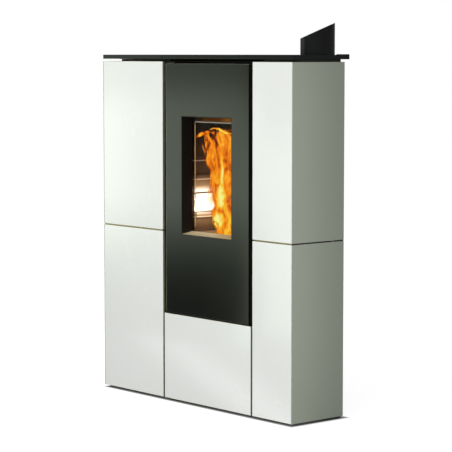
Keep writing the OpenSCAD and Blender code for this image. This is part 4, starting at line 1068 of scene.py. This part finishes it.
def make_floor():
    bm = bmesh.new()
    size = 14.0
    corners = [(-size, -size), (size, -size), (size, size), (-size, size)]
    bm.faces.new([bm.verts.new((x, y, 0)) for x, y in corners])
    mesh = bpy.data.meshes.new("floor")
    bm.to_mesh(mesh)
    bm.free()
    floor = bpy.data.objects.new("floor", mesh)
    bpy.context.scene.collection.objects.link(floor)
    mat, tree, out = new_material("Studio Floor")
    diffuse = add(tree, "ShaderNodeBsdfDiffuse")
    diffuse.inputs["Color"].default_value = (0.42, 0.42, 0.42, 1)
    glow = add(tree, "ShaderNodeEmission")
    rays = add(tree, "ShaderNodeLightPath")
    seen = add(tree, "ShaderNodeMath", operation="MAXIMUM")
    link(tree, rays.outputs["Is Camera Ray"], seen.inputs[0])
    link(tree, rays.outputs["Is Transmission Ray"], seen.inputs[1])
    strength = add(tree, "ShaderNodeMath", operation="MULTIPLY")
    link(tree, seen.outputs[0], strength.inputs[0])
    link(tree, open_floor(tree), strength.inputs[1])
    link(tree, strength.outputs[0], glow.inputs["Strength"])
    both = add(tree, "ShaderNodeAddShader")
    link(tree, diffuse.outputs[0], both.inputs[0])
    link(tree, glow.outputs[0], both.inputs[1])
    sheen = add(tree, "ShaderNodeEmission")
    link(tree, floor_sheen(tree), sheen.inputs["Strength"])
    pick = tree.nodes.new("ShaderNodeMixShader")
    link(tree, rays.outputs["Is Glossy Ray"], pick.inputs[0])
    link(tree, both.outputs[0], pick.inputs[1])
    link(tree, sheen.outputs[0], pick.inputs[2])
    link(tree, pick.outputs[0], out.inputs["Surface"])
    mesh.materials.append(mat)


# Strength of the room's light, and of the room as mirrors show it
ROOM_LIGHT = 0.50
ROOM_MIRRORED = 0.20


def make_world():
    world = bpy.data.worlds.new("Studio")
    bpy.context.scene.world = world
    world.use_nodes = True
    tree = world.node_tree
    tree.nodes.clear()
    out = tree.nodes.new("ShaderNodeOutputWorld")
    rays = tree.nodes.new("ShaderNodeLightPath")
    seen = add(tree, "ShaderNodeMath", operation="MAXIMUM")
    link(tree, rays.outputs["Is Camera Ray"], seen.inputs[0])
    link(tree, rays.outputs["Is Transmission Ray"], seen.inputs[1])
    room = add(tree, "ShaderNodeBackground")
    room.inputs["Color"].default_value = (0.97, 1.0, 0.97, 1)
    level = add(tree, "ShaderNodeMath", operation="MULTIPLY_ADD")
    level.inputs[1].default_value = ROOM_MIRRORED - ROOM_LIGHT
    level.inputs[2].default_value = ROOM_LIGHT
    link(tree, rays.outputs["Is Glossy Ray"], level.inputs[0])
    link(tree, level.outputs[0], room.inputs["Strength"])
    white = add(tree, "ShaderNodeBackground")
    white.inputs["Color"].default_value = (1, 1, 1, 1)
    white.inputs["Strength"].default_value = 1.0
    pick = tree.nodes.new("ShaderNodeMixShader")
    link(tree, seen.outputs[0], pick.inputs[0])
    link(tree, room.outputs[0], pick.inputs[1])
    link(tree, white.outputs[0], pick.inputs[2])
    link(tree, pick.outputs[0], out.inputs["Surface"])


# Height and brightness of the reflection panel, from its foot to its top
PANEL_STOPS = ((0.0, 0.03), (0.16, 0.03), (0.28, 0.12), (0.40, 0.40), (0.55, 1.0), (0.94, 1.0),
               (1.06, 0.45), (1.30, 0.34), (2.0, 0.50))
PANEL_HEIGHT = 2.0
PANEL_REACH = 0.80
PANEL_FOOT = Vector((-1.08, -1.08, 0.01))
PANEL_ACROSS = Vector((-0.642, 0.767, 0.0))


def build_panel_material(tree, out):
    """Bright in the middle heights, brighter towards its far end, and lit from below at the near one."""
    coord = tree.nodes.new("ShaderNodeTexCoord")
    parts = tree.nodes.new("ShaderNodeSeparateXYZ")
    link(tree, coord.outputs["Object"], parts.inputs[0])
    level = add(tree, "ShaderNodeMath", operation="DIVIDE")
    level.inputs[1].default_value = PANEL_HEIGHT
    link(tree, parts.outputs["Z"], level.inputs[0])
    ramp = tree.nodes.new("ShaderNodeValToRGB")
    stops = ramp.color_ramp.elements
    for height, value in PANEL_STOPS[1:-1]:
        stops.new(height / PANEL_HEIGHT)
    for stop, (height, value) in zip(stops, PANEL_STOPS):
        stop.position = height / PANEL_HEIGHT
        stop.color = (value, value, value, 1)
    link(tree, level.outputs[0], ramp.inputs[0])
    across = add(tree, "ShaderNodeVectorMath", operation="DOT_PRODUCT")
    across.inputs[1].default_value = PANEL_ACROSS
    link(tree, coord.outputs["Object"], across.inputs[0])
    start = PANEL_FOOT.dot(PANEL_ACROSS)
    far_end = ranged(tree, across.outputs["Value"], (start + 0.16, start + 0.46), (1.0, 2.1), smooth=True)
    lifted = add(tree, "ShaderNodeMath", operation="MULTIPLY")
    link(tree, ramp.outputs[0], lifted.inputs[0])
    link(tree, far_end, lifted.inputs[1])
    near_end = ranged(tree, across.outputs["Value"], (start - 0.16, start - 0.22), smooth=True)
    low_light = ranged(tree, parts.outputs["Z"], (0.72, 0.96), (1.15, 0.05))
    total = tree.nodes.new("ShaderNodeMix")
    total.data_type = "FLOAT"
    link(tree, near_end, total.inputs["Factor"])
    link(tree, lifted.outputs[0], total.inputs[2])
    link(tree, low_light, total.inputs[3])
    glow = add(tree, "ShaderNodeEmission")
    glow.inputs["Color"].default_value = (0.87, 1.0, 0.79, 1)
    link(tree, total.outputs[0], glow.inputs["Strength"])
    link(tree, glow.outputs[0], out.inputs["Surface"])


def make_panel():
    """A soft panel that only mirrors see, standing where the front's reflections fall."""
    mat, tree, out = new_material("Reflection Panel")
    build_panel_material(tree, out)
    bm = bmesh.new()
    side = PANEL_ACROSS * PANEL_REACH
    rise = Vector((0, 0, PANEL_HEIGHT))
    corners = (PANEL_FOOT - side, PANEL_FOOT + side, PANEL_FOOT + side + rise, PANEL_FOOT - side + rise)
    bm.faces.new([bm.verts.new(corner) for corner in corners])
    mesh = bpy.data.meshes.new("reflection_panel")
    bm.to_mesh(mesh)
    bm.free()
    mesh.materials.append(mat)
    panel = bpy.data.objects.new("reflection_panel", mesh)
    bpy.context.scene.collection.objects.link(panel)
    panel.visible_camera = False
    panel.visible_diffuse = False
    panel.visible_shadow = False
    panel.visible_transmission = False


def lamp(name, place, target, size, power, color=(1, 1, 1), kind="AREA"):
    data = bpy.data.lights.new(name, kind)
    data.energy = power
    data.color = color
    if kind == "AREA":
        data.shape = "RECTANGLE"
        data.size, data.size_y = size
    else:
        data.shadow_soft_size = size
    obj = bpy.data.objects.new(name, data)
    obj.location = place
    aim = Vector(target) - Vector(place)
    obj.rotation_euler = aim.to_track_quat("-Z", "Y").to_euler()
    obj.visible_glossy = False
    bpy.context.scene.collection.objects.link(obj)
    return obj


make_floor()
make_world()
make_panel()
lamp("key_softbox", (-1.2, -4.2, 2.8), (0, 0, 0.8), (3.0, 2.2), 100)
lamp("front_fill", (1.9, -4.4, 0.9), (0, 0, 0.4), (2.4, 1.6), 64)
lamp("corner_strip", (0.70, -0.15, 0.64), (0.48, -0.11, 0.64), (0.06, 1.2), 0.62)
lamp("liner_glow", (-0.016, -0.040, 0.662), (0, 0, 0), 0.010, 0.46, (1.0, 0.86, 0.68), "POINT")
lamp("fire_glow", (0.085, -0.030, 0.640), (0, 0, 0), 0.020, 0.30, (1.0, 0.55, 0.20), "POINT")
lamp("ember_glow", (pot_x, pot_y, 0.480), (0, 0, 0), 0.020, 0.30, (1.0, 0.42, 0.10), "POINT")


# Camera


def make_camera():
    """Solved from the photograph's perspective, then turned down instead of shifted."""
    data = bpy.data.cameras.new("photo_camera")
    data.lens = 152.10
    data.sensor_width = 36.0
    data.clip_end = 60.0
    camera = bpy.data.objects.new("photo_camera", data)
    camera.location = (4.7903, -4.0696, 1.1560)
    camera.rotation_euler = (math.radians(90 - 5.180), 0, math.radians(49.495))
    bpy.context.scene.collection.objects.link(camera)
    bpy.context.scene.camera = camera


make_camera()
bpy.context.scene.view_settings.view_transform = "Standard"
